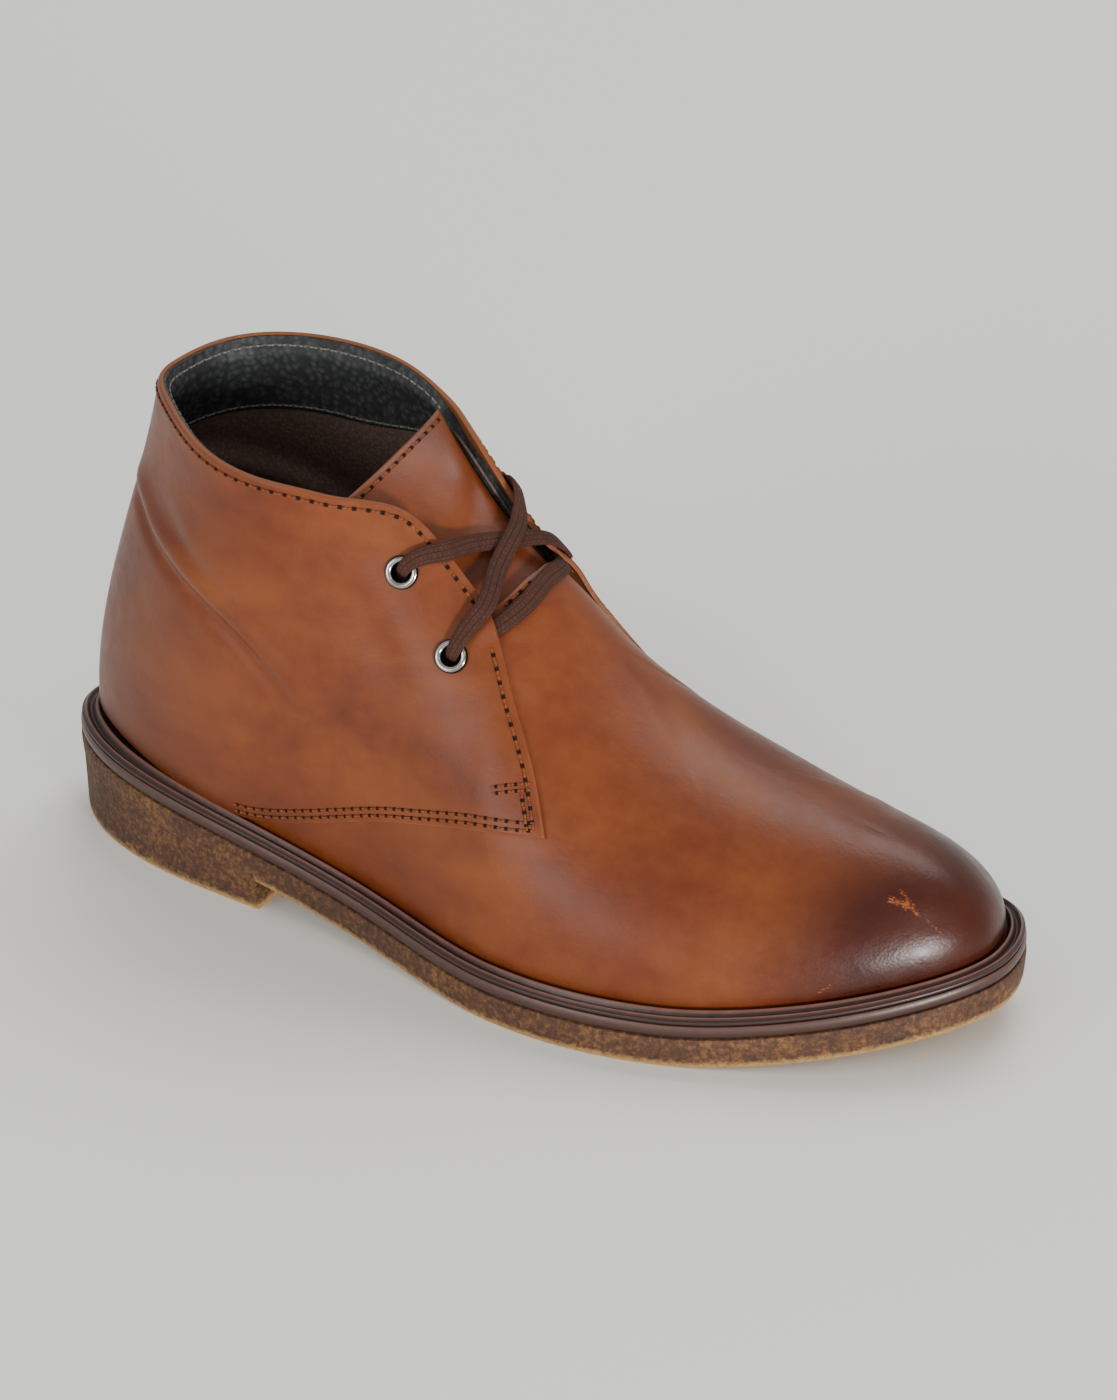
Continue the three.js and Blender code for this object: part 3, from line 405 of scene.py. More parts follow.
def addNode(tree, kind, settings=None, links=None):
    node = tree.nodes.new(kind)
    for key, value in (settings or {}).items():
        if key == "stops":
            while len(node.color_ramp.elements) < len(value):
                node.color_ramp.elements.new(0.5)
            for stop, (place, code) in zip(node.color_ramp.elements, value):
                stop.position = place
                stop.color = colour(code)
        elif isinstance(key, int) or (key in node.inputs and not hasattr(node, key)):
            node.inputs[key].default_value = value
        else:
            setattr(node, key, value)
    for key, source in (links or {}).items():
        tree.links.new(source, node.inputs[key])
    return node


def startMaterial(name):
    material = bpy.data.materials.new(name)
    material.use_nodes = True
    tree = material.node_tree
    tree.nodes.clear()
    shader = addNode(tree, "ShaderNodeBsdfPrincipled")
    addNode(tree, "ShaderNodeOutputMaterial", links={"Surface": shader.outputs[0]})
    return material, tree, shader


def burnishedLeather(name, dark, middle, light):
    # pull-up calf, waxed and burnished: clouded tan, almost plum where the polish is deep,
    # raw tan on cut edges, fine pores and a soft wax gloss
    material, tree, shader = startMaterial(name)
    place = addNode(tree, "ShaderNodeTexCoord").outputs["Object"]
    stretch = addNode(tree, "ShaderNodeMapping", {"Scale": (0.55, 1.0, 1.15)}, {"Vector": place})
    cloud = addNode(tree, "ShaderNodeTexNoise", {"Scale": 34, "Detail": 3, "Roughness": 0.55,
                    "Distortion": 0.4}, {"Vector": stretch.outputs[0]})
    mottle = addNode(tree, "ShaderNodeTexNoise", {"Scale": 170, "Detail": 4, "Roughness": 0.6},
                     {"Vector": place})
    blend = addNode(tree, "ShaderNodeMath", {"operation": "MULTIPLY_ADD", 1: 0.3},
                    {0: mottle.outputs["Fac"], 2: cloud.outputs["Fac"]})
    tone = addNode(tree, "ShaderNodeValToRGB",
                   {"stops": [(0.34, dark), (0.62, middle), (0.98, light)]},
                   {"Fac": blend.outputs[0]})
    burnish = addNode(tree, "ShaderNodeAttribute", {"attribute_name": "burnish"})
    patchy = addNode(tree, "ShaderNodeMath", {"operation": "MULTIPLY_ADD", 1: 0.9, 2: 0.55},
                     {0: cloud.outputs["Fac"]})
    deep = addNode(tree, "ShaderNodeMath", {"operation": "MULTIPLY", "use_clamp": True},
                   {0: patchy.outputs[0], 1: burnish.outputs["Fac"]})
    deeper = addNode(tree, "ShaderNodeMath", {"operation": "MULTIPLY", 1: 0.92, "use_clamp": True},
                     {0: deep.outputs[0]})
    polish = addNode(tree, "ShaderNodeMix", {"data_type": "RGBA", 7: colour("#2E0C07")},
                     {0: deeper.outputs[0], 6: tone.outputs["Color"]})
    cut = addNode(tree, "ShaderNodeAttribute", {"attribute_name": "cutEdge"})
    edged = addNode(tree, "ShaderNodeMix", {"data_type": "RGBA", 7: colour("#7F4C29")},
                    {0: cut.outputs["Fac"], 6: polish.outputs[2]})
    worn = addNode(tree, "ShaderNodeAttribute", {"attribute_name": "scuff"})
    scratchMap = addNode(tree, "ShaderNodeMapping", {"Rotation": (0.3, 0.6, 0.5),
                         "Scale": (0.3, 2.2, 2.2)}, {"Vector": place})
    scratch = addNode(tree, "ShaderNodeTexNoise", {"Scale": 780, "Detail": 5, "Roughness": 0.75},
                      {"Vector": scratchMap.outputs[0]})
    above = addNode(tree, "ShaderNodeMath", {"operation": "MULTIPLY_ADD", 1: 0.5},
                    {0: worn.outputs["Fac"], 2: scratch.outputs["Fac"]})
    bare = addNode(tree, "ShaderNodeMapRange", {"From Min": 0.93, "From Max": 1.08, "To Max": 0.75},
                   {"Value": above.outputs[0]})
    scuffed = addNode(tree, "ShaderNodeMix", {"data_type": "RGBA", 7: colour("#B0602F")},
                      {0: bare.outputs[0], 6: edged.outputs[2]})
    tree.links.new(scuffed.outputs[2], shader.inputs["Base Color"])
    gloss = addNode(tree, "ShaderNodeMapRange", {"From Min": 0.3, "From Max": 0.7, "To Min": 0.36,
                    "To Max": 0.48}, {"Value": mottle.outputs["Fac"]})
    waxed = addNode(tree, "ShaderNodeMath", {"operation": "MULTIPLY_ADD", 1: -0.1},
                    {0: burnish.outputs["Fac"], 2: gloss.outputs[0]})
    dull = addNode(tree, "ShaderNodeMath", {"operation": "MULTIPLY_ADD", 1: 0.3},
                   {0: cut.outputs["Fac"], 2: waxed.outputs[0]})
    tree.links.new(dull.outputs[0], shader.inputs["Roughness"])
    # pores about 0.9 mm apart, drawn a little coarser than real calf so that they show
    pore = addNode(tree, "ShaderNodeTexVoronoi", {"Scale": 1100}, {"Vector": place})
    grain = addNode(tree, "ShaderNodeBump", {"Strength": 0.07, "Distance": 0.0004},
                    {"Height": pore.outputs["Distance"]})
    ripple = addNode(tree, "ShaderNodeTexNoise", {"Scale": 95, "Detail": 3, "Roughness": 0.5},
                     {"Vector": stretch.outputs[0]})
    soft = addNode(tree, "ShaderNodeBump", {"Strength": 0.22, "Distance": 0.0012},
                   {"Height": ripple.outputs["Fac"], "Normal": grain.outputs[0]})
    tree.links.new(soft.outputs[0], shader.inputs["Normal"])
    shader.inputs["Specular IOR Level"].default_value = 0.29
    shader.inputs["Coat Weight"].default_value = 0.03
    shader.inputs["Coat Roughness"].default_value = 0.25
    return material


def grainedLeather(name, base, light, cell, strength, roughness):
    # lining leather, drum dyed and embossed: cell is the width of one grain in metres
    material, tree, shader = startMaterial(name)
    place = addNode(tree, "ShaderNodeTexCoord").outputs["Object"]
    warp = addNode(tree, "ShaderNodeTexNoise", {"Scale": 0.3 / cell, "Detail": 2}, {"Vector": place})
    bent = addNode(tree, "ShaderNodeVectorMath", {"operation": "MULTIPLY_ADD",
                   1: (cell * 1.4, cell * 1.4, cell * 1.4)},
                   {0: warp.outputs["Color"], 2: place})
    grain = addNode(tree, "ShaderNodeTexVoronoi", {"Scale": 1 / cell}, {"Vector": bent.outputs[0]})
    tone = addNode(tree, "ShaderNodeValToRGB", {"stops": [(0.1, light), (0.6, base)]},
                   {"Fac": grain.outputs["Distance"]})
    tree.links.new(tone.outputs["Color"], shader.inputs["Base Color"])
    bump = addNode(tree, "ShaderNodeBump", {"Strength": strength, "Distance": 0.0006, "invert": True},
                   {"Height": grain.outputs["Distance"]})
    tree.links.new(bump.outputs[0], shader.inputs["Normal"])
    shader.inputs["Roughness"].default_value = roughness
    shader.inputs["Specular IOR Level"].default_value = 0.3
    return material


def granularRubber(name, deep, base, worn):
    # crumbly crepe-like rubber, sanded at the edge: grains near 1.3 mm, dust-pale at the floor
    material, tree, shader = startMaterial(name)
    place = addNode(tree, "ShaderNodeTexCoord").outputs["Object"]
    grains = addNode(tree, "ShaderNodeTexNoise", {"Scale": 620, "Detail": 4, "Roughness": 0.7},
                     {"Vector": place})
    patches = addNode(tree, "ShaderNodeTexNoise", {"Scale": 60, "Detail": 3}, {"Vector": place})
    mix = addNode(tree, "ShaderNodeMath", {"operation": "MULTIPLY_ADD", 1: 0.5},
                  {0: patches.outputs["Fac"], 2: grains.outputs["Fac"]})
    tone = addNode(tree, "ShaderNodeValToRGB", {"stops": [(0.55, deep), (0.75, base), (1.0, worn)]},
                   {"Fac": mix.outputs[0]})
    low = addNode(tree, "ShaderNodeAttribute", {"attribute_name": "rubbed"})
    ragged = addNode(tree, "ShaderNodeMath", {"operation": "MULTIPLY_ADD", 1: 1.3},
                     {0: low.outputs["Fac"], 2: grains.outputs["Fac"]})
    share = addNode(tree, "ShaderNodeMapRange", {"From Min": 0.9, "From Max": 1.6, "To Max": 0.75},
                    {"Value": ragged.outputs[0]})
    dusty = addNode(tree, "ShaderNodeMix", {"data_type": "RGBA", 7: colour("#B08A50")},
                    {0: share.outputs[0], 6: tone.outputs["Color"]})
    tree.links.new(dusty.outputs[2], shader.inputs["Base Color"])
    bump = addNode(tree, "ShaderNodeBump", {"Strength": 0.7, "Distance": 0.0008},
                   {"Height": grains.outputs["Fac"]})
    tree.links.new(bump.outputs[0], shader.inputs["Normal"])
    shader.inputs["Roughness"].default_value = 0.75
    return material


def weltLeather(name, grooveShade, base, ribHighlight):
    # waxed storm welt: painted shade makes it nearly black in its grooves, and a painted highlight makes it
    # redder and lighter on its ribs
    material, tree, shader = startMaterial(name)
    place = addNode(tree, "ShaderNodeTexCoord").outputs["Object"]
    rib = addNode(tree, "ShaderNodeAttribute", {"attribute_name": "rib"})
    noise = addNode(tree, "ShaderNodeTexNoise", {"Scale": 260, "Detail": 4}, {"Vector": place})
    mix = addNode(tree, "ShaderNodeMath", {"operation": "MULTIPLY_ADD", 1: 0.25},
                  {0: noise.outputs["Fac"], 2: rib.outputs["Fac"]})
    # the ramp runs from painted shade in the grooves to painted highlight on the crests
    tone = addNode(tree, "ShaderNodeValToRGB", {"stops": [(0.1, grooveShade), (0.6, base), (1.1, ribHighlight)]},
                   {"Fac": mix.outputs[0]})
    tree.links.new(tone.outputs["Color"], shader.inputs["Base Color"])
    bump = addNode(tree, "ShaderNodeBump", {"Strength": 0.25, "Distance": 0.0005},
                   {"Height": noise.outputs["Fac"]})
    tree.links.new(bump.outputs[0], shader.inputs["Normal"])
    shader.inputs["Roughness"].default_value = 0.4
    return material


def wovenLace(name, base, light):
    # flat waxed cotton lace, braided: a rib every 1.3 mm along and four strands across; the gaps between the
    # ribs are painted dark as shade
    material, tree, shader = startMaterial(name)
    uv = addNode(tree, "ShaderNodeUVMap", {"uv_map": "millimetres"})
    weave = addNode(tree, "ShaderNodeTexBrick", {"Scale": 1.0, "Mortar Size": 0.12,
                    "Mortar Smooth": 1.0, "Brick Width": 1.3, "Row Height": 0.95,
                    "Color1": colour("#FFFFFF"), "Color2": colour("#D8D8D8"),
                    "Mortar": colour("#000000")}, {"Vector": uv.outputs[0]})
    # the mortar lines between the bricks take the base colour as painted shade in the braid's gaps, and the
    # bricks take the light colour
    tone = addNode(tree, "ShaderNodeMix", {"data_type": "RGBA", 6: colour(base), 7: colour(light)},
                   {0: weave.outputs["Color"]})
    tree.links.new(tone.outputs[2], shader.inputs["Base Color"])
    bump = addNode(tree, "ShaderNodeBump", {"Strength": 0.5, "Distance": 0.0004},
                   {"Height": weave.outputs["Color"]})
    tree.links.new(bump.outputs[0], shader.inputs["Normal"])
    shader.inputs["Roughness"].default_value = 0.85
    shader.inputs["Specular IOR Level"].default_value = 0.25
    return material


def platedMetal(name, base, roughness):
    # pressed brass with a nickel plate: bright on the roll; darkened down its bore, on both sides of the roll
    # and round its foot, partly tarnish and partly painted shade
    material, tree, shader = startMaterial(name)
    place = addNode(tree, "ShaderNodeTexCoord").outputs["Object"]
    noise = addNode(tree, "ShaderNodeTexNoise", {"Scale": 500, "Detail": 2}, {"Vector": place})
    tone = addNode(tree, "ShaderNodeValToRGB", {"stops": [(0.2, base), (0.9, "#C4C2BE")]},
                   {"Fac": noise.outputs["Fac"]})
    darkening = addNode(tree, "ShaderNodeAttribute", {"attribute_name": "tarnish"})
    agedAndShaded = addNode(tree, "ShaderNodeMix", {"data_type": "RGBA", 7: colour("#2B2725")},
                   {0: darkening.outputs["Fac"], 6: tone.outputs["Color"]})
    tree.links.new(agedAndShaded.outputs[2], shader.inputs["Base Color"])
    bump = addNode(tree, "ShaderNodeBump", {"Strength": 0.1, "Distance": 0.0002},
                   {"Height": noise.outputs["Fac"]})
    tree.links.new(bump.outputs[0], shader.inputs["Normal"])
    shader.inputs["Metallic"].default_value = 1
    shader.inputs["Roughness"].default_value = roughness
    return material


def waxedThread(name, base, light):
    # bonded polyester thread, waxed: twist lines near 0.5 mm apart; painted dark at the needle holes as shade
    material, tree, shader = startMaterial(name)
    place = addNode(tree, "ShaderNodeTexCoord").outputs["Object"]
    noise = addNode(tree, "ShaderNodeTexNoise", {"Scale": 1500, "Detail": 2}, {"Vector": place})
    tone = addNode(tree, "ShaderNodeValToRGB", {"stops": [(0.35, base), (0.7, light)]},
                   {"Fac": noise.outputs["Fac"]})
    dip = addNode(tree, "ShaderNodeAttribute", {"attribute_name": "dip"})
    dark = addNode(tree, "ShaderNodeMix", {"data_type": "RGBA", 7: colour("#1A0C08")},
                   {0: dip.outputs["Fac"], 6: tone.outputs["Color"]})
    tree.links.new(dark.outputs[2], shader.inputs["Base Color"])
    bump = addNode(tree, "ShaderNodeBump", {"Strength": 0.3, "Distance": 0.0002},
                   {"Height": noise.outputs["Fac"]})
    tree.links.new(bump.outputs[0], shader.inputs["Normal"])
    shader.inputs["Roughness"].default_value = 0.8
    shader.inputs["Specular IOR Level"].default_value = 0.15
    return material


calf = burnishedLeather("burnishedCalf", "#51200C", "#693013", "#7E431B")
liningBlack = grainedLeather("grainedPigLining", "#232425", "#3B3C3D", 0.0021, 0.5, 0.55)
liningBrown = grainedLeather("brownLining", "#54413A", "#67534A", 0.0012, 0.25, 0.7)
sockLeather = grainedLeather("sockLeather", "#1A1512", "#2A221E", 0.0014, 0.2, 0.6)
soleRubber = granularRubber("granularRubber", "#2A160A", "#482812", "#755026")
midRubber = weltLeather("darkMidsole", "#1D0E0A", "#382019", "#4F352C")
weltWax = weltLeather("waxedWelt", "#150A07", "#381B14", "#6E4335")
laceCotton = wovenLace("braidedLace", "#25120C", "#46281E")
nickel = platedMetal("nickelPlate", "#8F8C87", 0.17)
brownThread = waxedThread("brownThread", "#66321A", "#8A5028")
greyThread = waxedThread("greyThread", "#565653", "#7E7D79")
print("materials made")


soleSettings = {"stations": 220, "across": 14, "heelLength": 84.0}


def ringOf(inset, lift, count):
    # once round the outline, from the back along the outer side to the toe and back
    rows = []
    for side, turn in (("outer", np.linspace(1, 0, count, endpoint=False)),
                       ("inner", np.linspace(0, 1, count, endpoint=False))):
        place, _ = soleEdge(side, turn, np.full(count, float(inset)))
        z = underside(place[:, 0]) + lift
        rows.append(np.concatenate([place, z[:, None]], 1))
    return np.concatenate(rows)


def capGrid(ring, across):
    # straight rungs from each outer point to the inner point across from it
    count = len(ring) // 2
    outer = ring[:count + 1]
    inner = np.concatenate([ring[:1], ring[:count - 1:-1]])
    share = np.linspace(0, 1, across + 1)[None, :, None]
    return outer[:, None] * (1 - share) + inner[:, None] * share


def layerParts(profile, count, across):
    # rings stacked along the profile of inset and lift, closed by a ladder below and above
    rings = np.stack([ringOf(inset, lift, count) for inset, lift in profile], 0)
    wall = gridQuads(len(profile), 2 * count, closedColumns=True)
    points = [rings.reshape(-1, 3)]
    quads = [wall]
    total = rings.shape[0] * rings.shape[1]
    for ring, flip in ((rings[0], True), (rings[-1], False)):
        cap = capGrid(ring, across)
        grid = gridQuads(*cap.shape[:2]) + total
        quads.append(grid if flip else grid[:, ::-1])
        points.append(cap.reshape(-1, 3))
        total += cap.shape[0] * cap.shape[1]
    return np.concatenate(points), np.concatenate(quads)


def rubbedAmount(points, floorAt):
    # 1 at the tread edge, 0 from 3.5 mm above it
    return np.clip(1 - (points[:, 2] - floorAt(points[:, 0])) / 3.5, 0, 1)


outsoleProfile = [(2.4, 0.0), (1.5, 0.05), (1.0, 0.5), (0.75, 1.4), (0.5, 3.2), (0.3, 5.2), (0.15, 7.2),
                  (0.2, 8.4), (0.5, 9.1), (1.2, 9.4)]
points, quads = layerParts(outsoleProfile, soleSettings["stations"], soleSettings["across"])
makePiece("outsoleTread", points, quads, soleRubber, ("outsole",),
          {"rubbed": rubbedAmount(points, underside) * (points[:, 0] > 84)})

midProfile = [(1.6, 9.7), (0.7, 9.85), (0.3, 10.5), (0.2, 11.5), (0.3, 12.6), (0.7, 13.2), (1.6, 13.4)]
points, quads = layerParts(midProfile, soleSettings["stations"], soleSettings["across"])
# the midsole is painted darker towards the bottom, where it meets the outsole, and lighter towards the top
makePiece("midsoleBand", points, quads, midRubber, ("midsole",),
          {"rib": 0.25 + 0.5 * smooth((points[:, 2] - underside(points[:, 0]) - 10) / 3)})


def heelParts(count, across):
    # the heel block: the outline behind the breast, from the floor up into the outsole,
    # closed by a straight breast and by ladders below and above
    def cutTurn(side):
        turn = np.linspace(0.3, 1, 4000)
        x = soleEdge(side, turn, np.full(4000, 1.0))[0][:, 0]
        return turn[np.argmin(np.abs(x - soleSettings["heelLength"]))]

    profile = [(2.6, 0.0, 0), (1.7, 0.05, 0), (1.25, 0.5, 0), (1.1, 2.0, 0), (1.0, 0.35, 1),
               (0.85, 0.7, 1), (0.7, 1.0, 1)]
    rows = []
    for inset, level, relative in profile:
        outerTurn = np.linspace(1, cutTurn("outer"), count)
        innerTurn = np.linspace(1, cutTurn("inner"), count)
        a = soleEdge("outer", outerTurn, np.full(count, inset))[0]
        b = soleEdge("inner", innerTurn, np.full(count, inset))[0]
        share = np.linspace(0, 1, across + 1)[:, None]
        grid = a[:, None] * (1 - share) + b[:, None] * share
        z = underside(grid[..., 0])
        z = 2.0 + (z + 1.5 - 2.0) * level if relative else 0 * z + level
        rows.append(np.concatenate([grid, z[..., None]], -1))
    return np.stack(rows)


heelStack = heelParts(70, 14)


def shellOfStack(stack):
    # the outer faces of a block of points: bottom, top, two long walls and two end walls
    layers, rows, columns = stack.shape[:3]
    ids = np.arange(layers * rows * columns).reshape(layers, rows, columns)
    parts = []
    for grid, flip in ((ids[0], False), (ids[-1], True), (ids[:, :, 0], True), (ids[:, :, -1], False),
                       (ids[:, 0, :], False), (ids[:, -1, :], True)):
        quad = np.stack([grid[:-1, :-1], grid[1:, :-1], grid[1:, 1:], grid[:-1, 1:]], -1).reshape(-1, 4)
        parts.append(quad[:, ::-1] if flip else quad)
    return stack.reshape(-1, 3), np.concatenate(parts)


points, quads = shellOfStack(heelStack)
makePiece("heelBlock", points, quads, soleRubber, ("outsole",),
          {"rubbed": rubbedAmount(points, lambda x: 0 * x)})
print("sole made")

weltSettings = {"stations": 300, "overhang": 0.6, "clear": 0.2}


def weltParts(count):
    # profile carried round the outline: two ribs are bumps exp(-((u-c)/w)²) on a low flat
    u = np.linspace(0, 1, 26)
    top = (1.05 + 0.95 * np.exp(-((u - 0.2) / 0.085) ** 2) + 1.9 * np.exp(-((u - 0.68) / 0.16) ** 2)
           + 0.5 * smooth((u - 0.8) / 0.2))
    top -= 0.35 * np.exp(-((u - 0.42) / 0.06) ** 2)
    across = np.concatenate([[0.03, 0.0, 0.0], u[1:], [1.0]])
    up = np.concatenate([[0.0, 0.25, 0.8], top[1:], [0.0]])
    rows = []
    for side, turn in (("outer", np.linspace(1, 0, count, endpoint=False)),
                       ("inner", np.linspace(0, 1, count, endpoint=False))):
        inner = bend(foot["turn"], foot["inset"], turn, (0, 0)) - weltSettings["clear"]
        inset = weltSettings["overhang"] + (inner - weltSettings["overhang"])[:, None] * across
        place, _ = soleEdge(side, np.repeat(turn[:, None], len(across), 1), inset)
        z = underside(place[..., 0]) + last["seat"] + up
        rows.append(np.concatenate([place, z[..., None]], -1))
    # painted highlight on the two ribs, painted shade between them
    ribShadeAndHighlight = np.concatenate([[0.2, 0.25, 0.3],
                           (0.15 + 0.75 * np.exp(-((u - 0.2) / 0.07) ** 2)
                            + 0.65 * np.exp(-((u - 0.64) / 0.1) ** 2))[1:], [0.0]])
    points = np.concatenate(rows)
    return points, gridQuads(2 * count, len(across), True, True), np.tile(ribShadeAndHighlight, 2 * count)


points, quads, ribShadeAndHighlight = weltParts(weltSettings["stations"])
makePiece("stormWelt", points, quads, weltWax, ("welt",), {"rib": ribShadeAndHighlight}, crease=60)
print("welt made")

# Lower edge of the quarters from the back to the tip, and their front edges from the tip up.
quarterFoot = {"turn": [1, 0.86, 0.72, 0.668, 0.588, 0.537, 0.478, 0.43, 0.4],
               "height": [0.034, 0.032, 0.036, 0.097, 0.192, 0.243, 0.308, 0.367, 0.413]}
quarterFront = {
    "turn": [0.4, 0.423, 0.45, 0.482, 0.51, 0.54],
    "outer": [0.413, 0.553, 0.643, 0.737, 0.767, 0.805],
    "inner": [0.413, 0.57, 0.68, 0.775, 0.815, 0.86],
}
quarterTop = {
    "turn": [1, 0.92, 0.84, 0.78, 0.74, 0.71, 0.68, 0.645, 0.615, 0.577, 0.54],
    "outer": [1, 1, 1, 1, 0.999, 0.992, 0.975, 0.945, 0.908, 0.863, 0.805],
    "inner": [1, 1, 1, 1, 1, 0.996, 0.985, 0.963, 0.935, 0.9, 0.86],
}
panelSettings = {"quarterRows": 190, "quarterColumns": 110, "quarterLow": 0.3, "quarterHigh": 1.8,
                 "vampRows": 150, "vampColumns": 230}


def pathOf(turns, heights):
    # turn and height as splines over the share of a rough length of the path
    turns, heights = np.array(turns, float), np.array(heights, float)
    run = np.concatenate([[0], np.cumsum(np.hypot(np.diff(turns) * 300, np.diff(heights) * 120))])
    share = run / run[-1]
    return lambda s: (bend(share, turns, s), bend(share, heights, s))


def footPath(s):
    t = 1 - 0.6 * s
    return t, bend(quarterFoot["turn"][::-1], quarterFoot["height"][::-1], t)


def coons(bottom, right, top, left, u, v):
    # Coons patch: (1-v)bottom + v top + (1-u)left + u right, less the four corners' blend
    out = []
    for n in range(2):
        b, r, t, l = bottom(u)[n], right(v)[n], top(u)[n], left(v)[n]
        corners = ((1 - u) * (1 - v) * bottom(0.0 * u)[n] + u * (1 - v) * bottom(0 * u + 1)[n]
                   + (1 - u) * v * top(0.0 * u)[n] + u * v * top(0 * u + 1)[n])
        out.append((1 - v) * b + v * t + (1 - u) * l + u * r - corners)
    return out


def quarterGrid(side, u, v):
    front = pathOf(quarterFront["turn"], quarterFront[side])
    top = pathOf(quarterTop["turn"], quarterTop[side])
    back = lambda s: (1.0 + 0 * s, 0.034 + 0.966 * s)
    u, v = np.meshgrid(u, v, indexing="ij")
    turn, height = coons(footPath, front, top, back, u, v)
    return turn, np.minimum(height, 1)


# A scuff runs from one point to another and wears this far to each side.
scuffs = [((274.5, -17, 46.0), (279.5, -15.2, 44.2), 2.5), ((276.0, -13.5, 47.0), (281.5, -15, 42.6), 1.6),
          ((280.0, -15.1, 43.6), (288.0, -13.7, 37.9), 1.0), ((262.5, -35.5, 23.0), (266.0, -34.2, 25.5), 1.0)]


def burnishOf(points, height):
    # deep towards the toe and low on it, light over the vamp and the heel, a thin dark line
    # along the welt
    toe = smooth((points[..., 0] - 238) / 44) * (0.5 + 0.5 * smooth((0.9 - height) / 0.45))
    wash = 0.17 * smooth((points[..., 0] - 172) / 45) + 0.2 * smooth((78 - points[..., 0]) / 50)
    line = 0.4 * np.exp(-(np.abs(height) / 0.05) ** 2)
    return np.clip(toe + wash + line, 0, 1)


def scuffOf(points):
    # exp(-(distance to the scuff's line / its width)^2), the strongest of them
    total = np.zeros(points.shape[:-1])
    for start, end, wide in scuffs:
        start, line = np.array(start), np.array(end) - np.array(start)
        share = np.clip(((points - start) * line).sum(-1) / (line @ line), 0, 1)
        far = np.linalg.norm(points - start - share[..., None] * line, axis=-1)
        total = np.maximum(total, np.exp(-(far / wide) ** 2))
    return total


# Where the lace's inner bar comes out under a quarter's front, the leather stands off a little:
# turn and height, how high and how far around in millimetres.
barGap = {"outer": (0.479, 0.722, 1.5, 5.0), "inner": (0.471, 0.75, 2.0, 8.0)}
eyeletSpots = {
    "eyelet_outer_top": ("outer", 0.572, 0.7),
    "eyelet_outer_low": ("outer", 0.51, 0.593),
    "eyelet_inner_top": ("inner", 0.572, 0.74),
    "eyelet_inner_low": ("inner", 0.51, 0.635),
}


def eyeletHoles(side, radius):
    spots = [np.array(spot[1:]) for spot in eyeletSpots.values() if spot[0] == side]
    return [(lastPoint(side, *spot), lastNormal(side, *spot), radius) for spot in spots]


quarterU = edgeSteps(panelSettings["quarterRows"], 175.0)
quarterV = edgeSteps(panelSettings["quarterColumns"], 105.0)
for side in ("outer", "inner"):
    turn, height = quarterGrid(side, quarterU, quarterV)
    base = lastPoint(side, turn, height)
    normal = lastNormal(side, turn, height)
    fold = relief(base)
    distance = np.minimum(edgeDistance(quarterU, 175.0, (False, True))[:, None],
                          edgeDistance(quarterV, 105.0)[None])
    gapTurn, gapHeight, gapHigh, gapWide = barGap[side]
    far = np.linalg.norm(base - lastPoint(side, np.array(gapTurn), np.array(gapHeight)), axis=-1)
    fold = fold + gapHigh * np.exp(-(far / gapWide) ** 2)
    high = panelSettings["quarterHigh"] - rolled(distance) + fold
    low = panelSettings["quarterLow"] + fold
    front = base + normal * high[..., None]
    back = base + normal * low[..., None]
    points, quads = sheetParts(front, back, holes=eyeletHoles(side, 3.5))
    cut = np.clip(1 - distance / 0.55, 0, 1) * 0.55
    values = {"burnish": np.concatenate([burnishOf(base, height - 0.03).ravel()] * 2),
              "cutEdge": np.concatenate([cut.ravel(), np.ones(cut.size) * 0.9]),
              "scuff": np.zeros(2 * cut.size)}
    makePiece("quarter" + side.capitalize(), points, quads, calf, ("quarter_" + side,), values)
print("quarters made")

# The vamp goes under the quarters' lower edges and ends in a cut edge across the throat.
vampEnd = {"height": [0, 0.1, 0.2, 0.3, 0.4, 0.5, 0.6, 0.7, 0.76, 0.87, 1],
           "turn": [0.83, 0.75, 0.67, 0.59, 0.53, 0.505, 0.5, 0.492, 0.481, 0.468, 0.4625]}


def vampParts(rows, columns):
    # rows run from the toe's middle line to the vamp's end, columns from one welt over the
    # ridge to the other
    w = np.linspace(-1, 1, 2 * columns + 1)
    u = edgeSteps(rows, 180.0)
    fronts, backs, heights, bases = [], [], [], []
    for side, part in (("outer", w[w < 0]), ("inner", w[w >= 0])):
        height = 1 - np.abs(part)
        end = bend(vampEnd["height"], vampEnd["turn"], height)
        turn = u[:, None] * end
        height = np.repeat(height[None], len(u), 0)
        base = lastPoint(side, turn, height)
        normal = lastNormal(side, turn, height)
        fold = relief(base)
        distance = edgeDistance(u, 180.0, (False, True))[:, None]
        fronts.append(base + normal * (fold - rolled(distance))[..., None])
        backs.append(base + normal * (fold - 1.5)[..., None])
        heights.append(height)
        bases.append(base)
    front, back = np.concatenate(fronts, 1), np.concatenate(backs, 1)
    height, base = np.concatenate(heights, 1), np.concatenate(bases, 1)
    points, quads = sheetParts(front, back, startRim=False)
    cut = np.broadcast_to(np.clip(1 - edgeDistance(u, 180.0, (False, True))[:, None] / 0.5, 0, 1),
                          height.shape)
    values = {"burnish": np.concatenate([burnishOf(base, height).ravel()] * 2),
              "cutEdge": np.concatenate([cut.ravel() * 0.5, 0.6 + 0 * cut.ravel()]),
              "scuff": np.concatenate([scuffOf(base).ravel()] * 2)}
    return points, quads, values


points, quads, values = vampParts(panelSettings["vampRows"], panelSettings["vampColumns"] // 2)
makePiece("vamp", points, quads, calf, ("upper",), values)
print("vamp made")

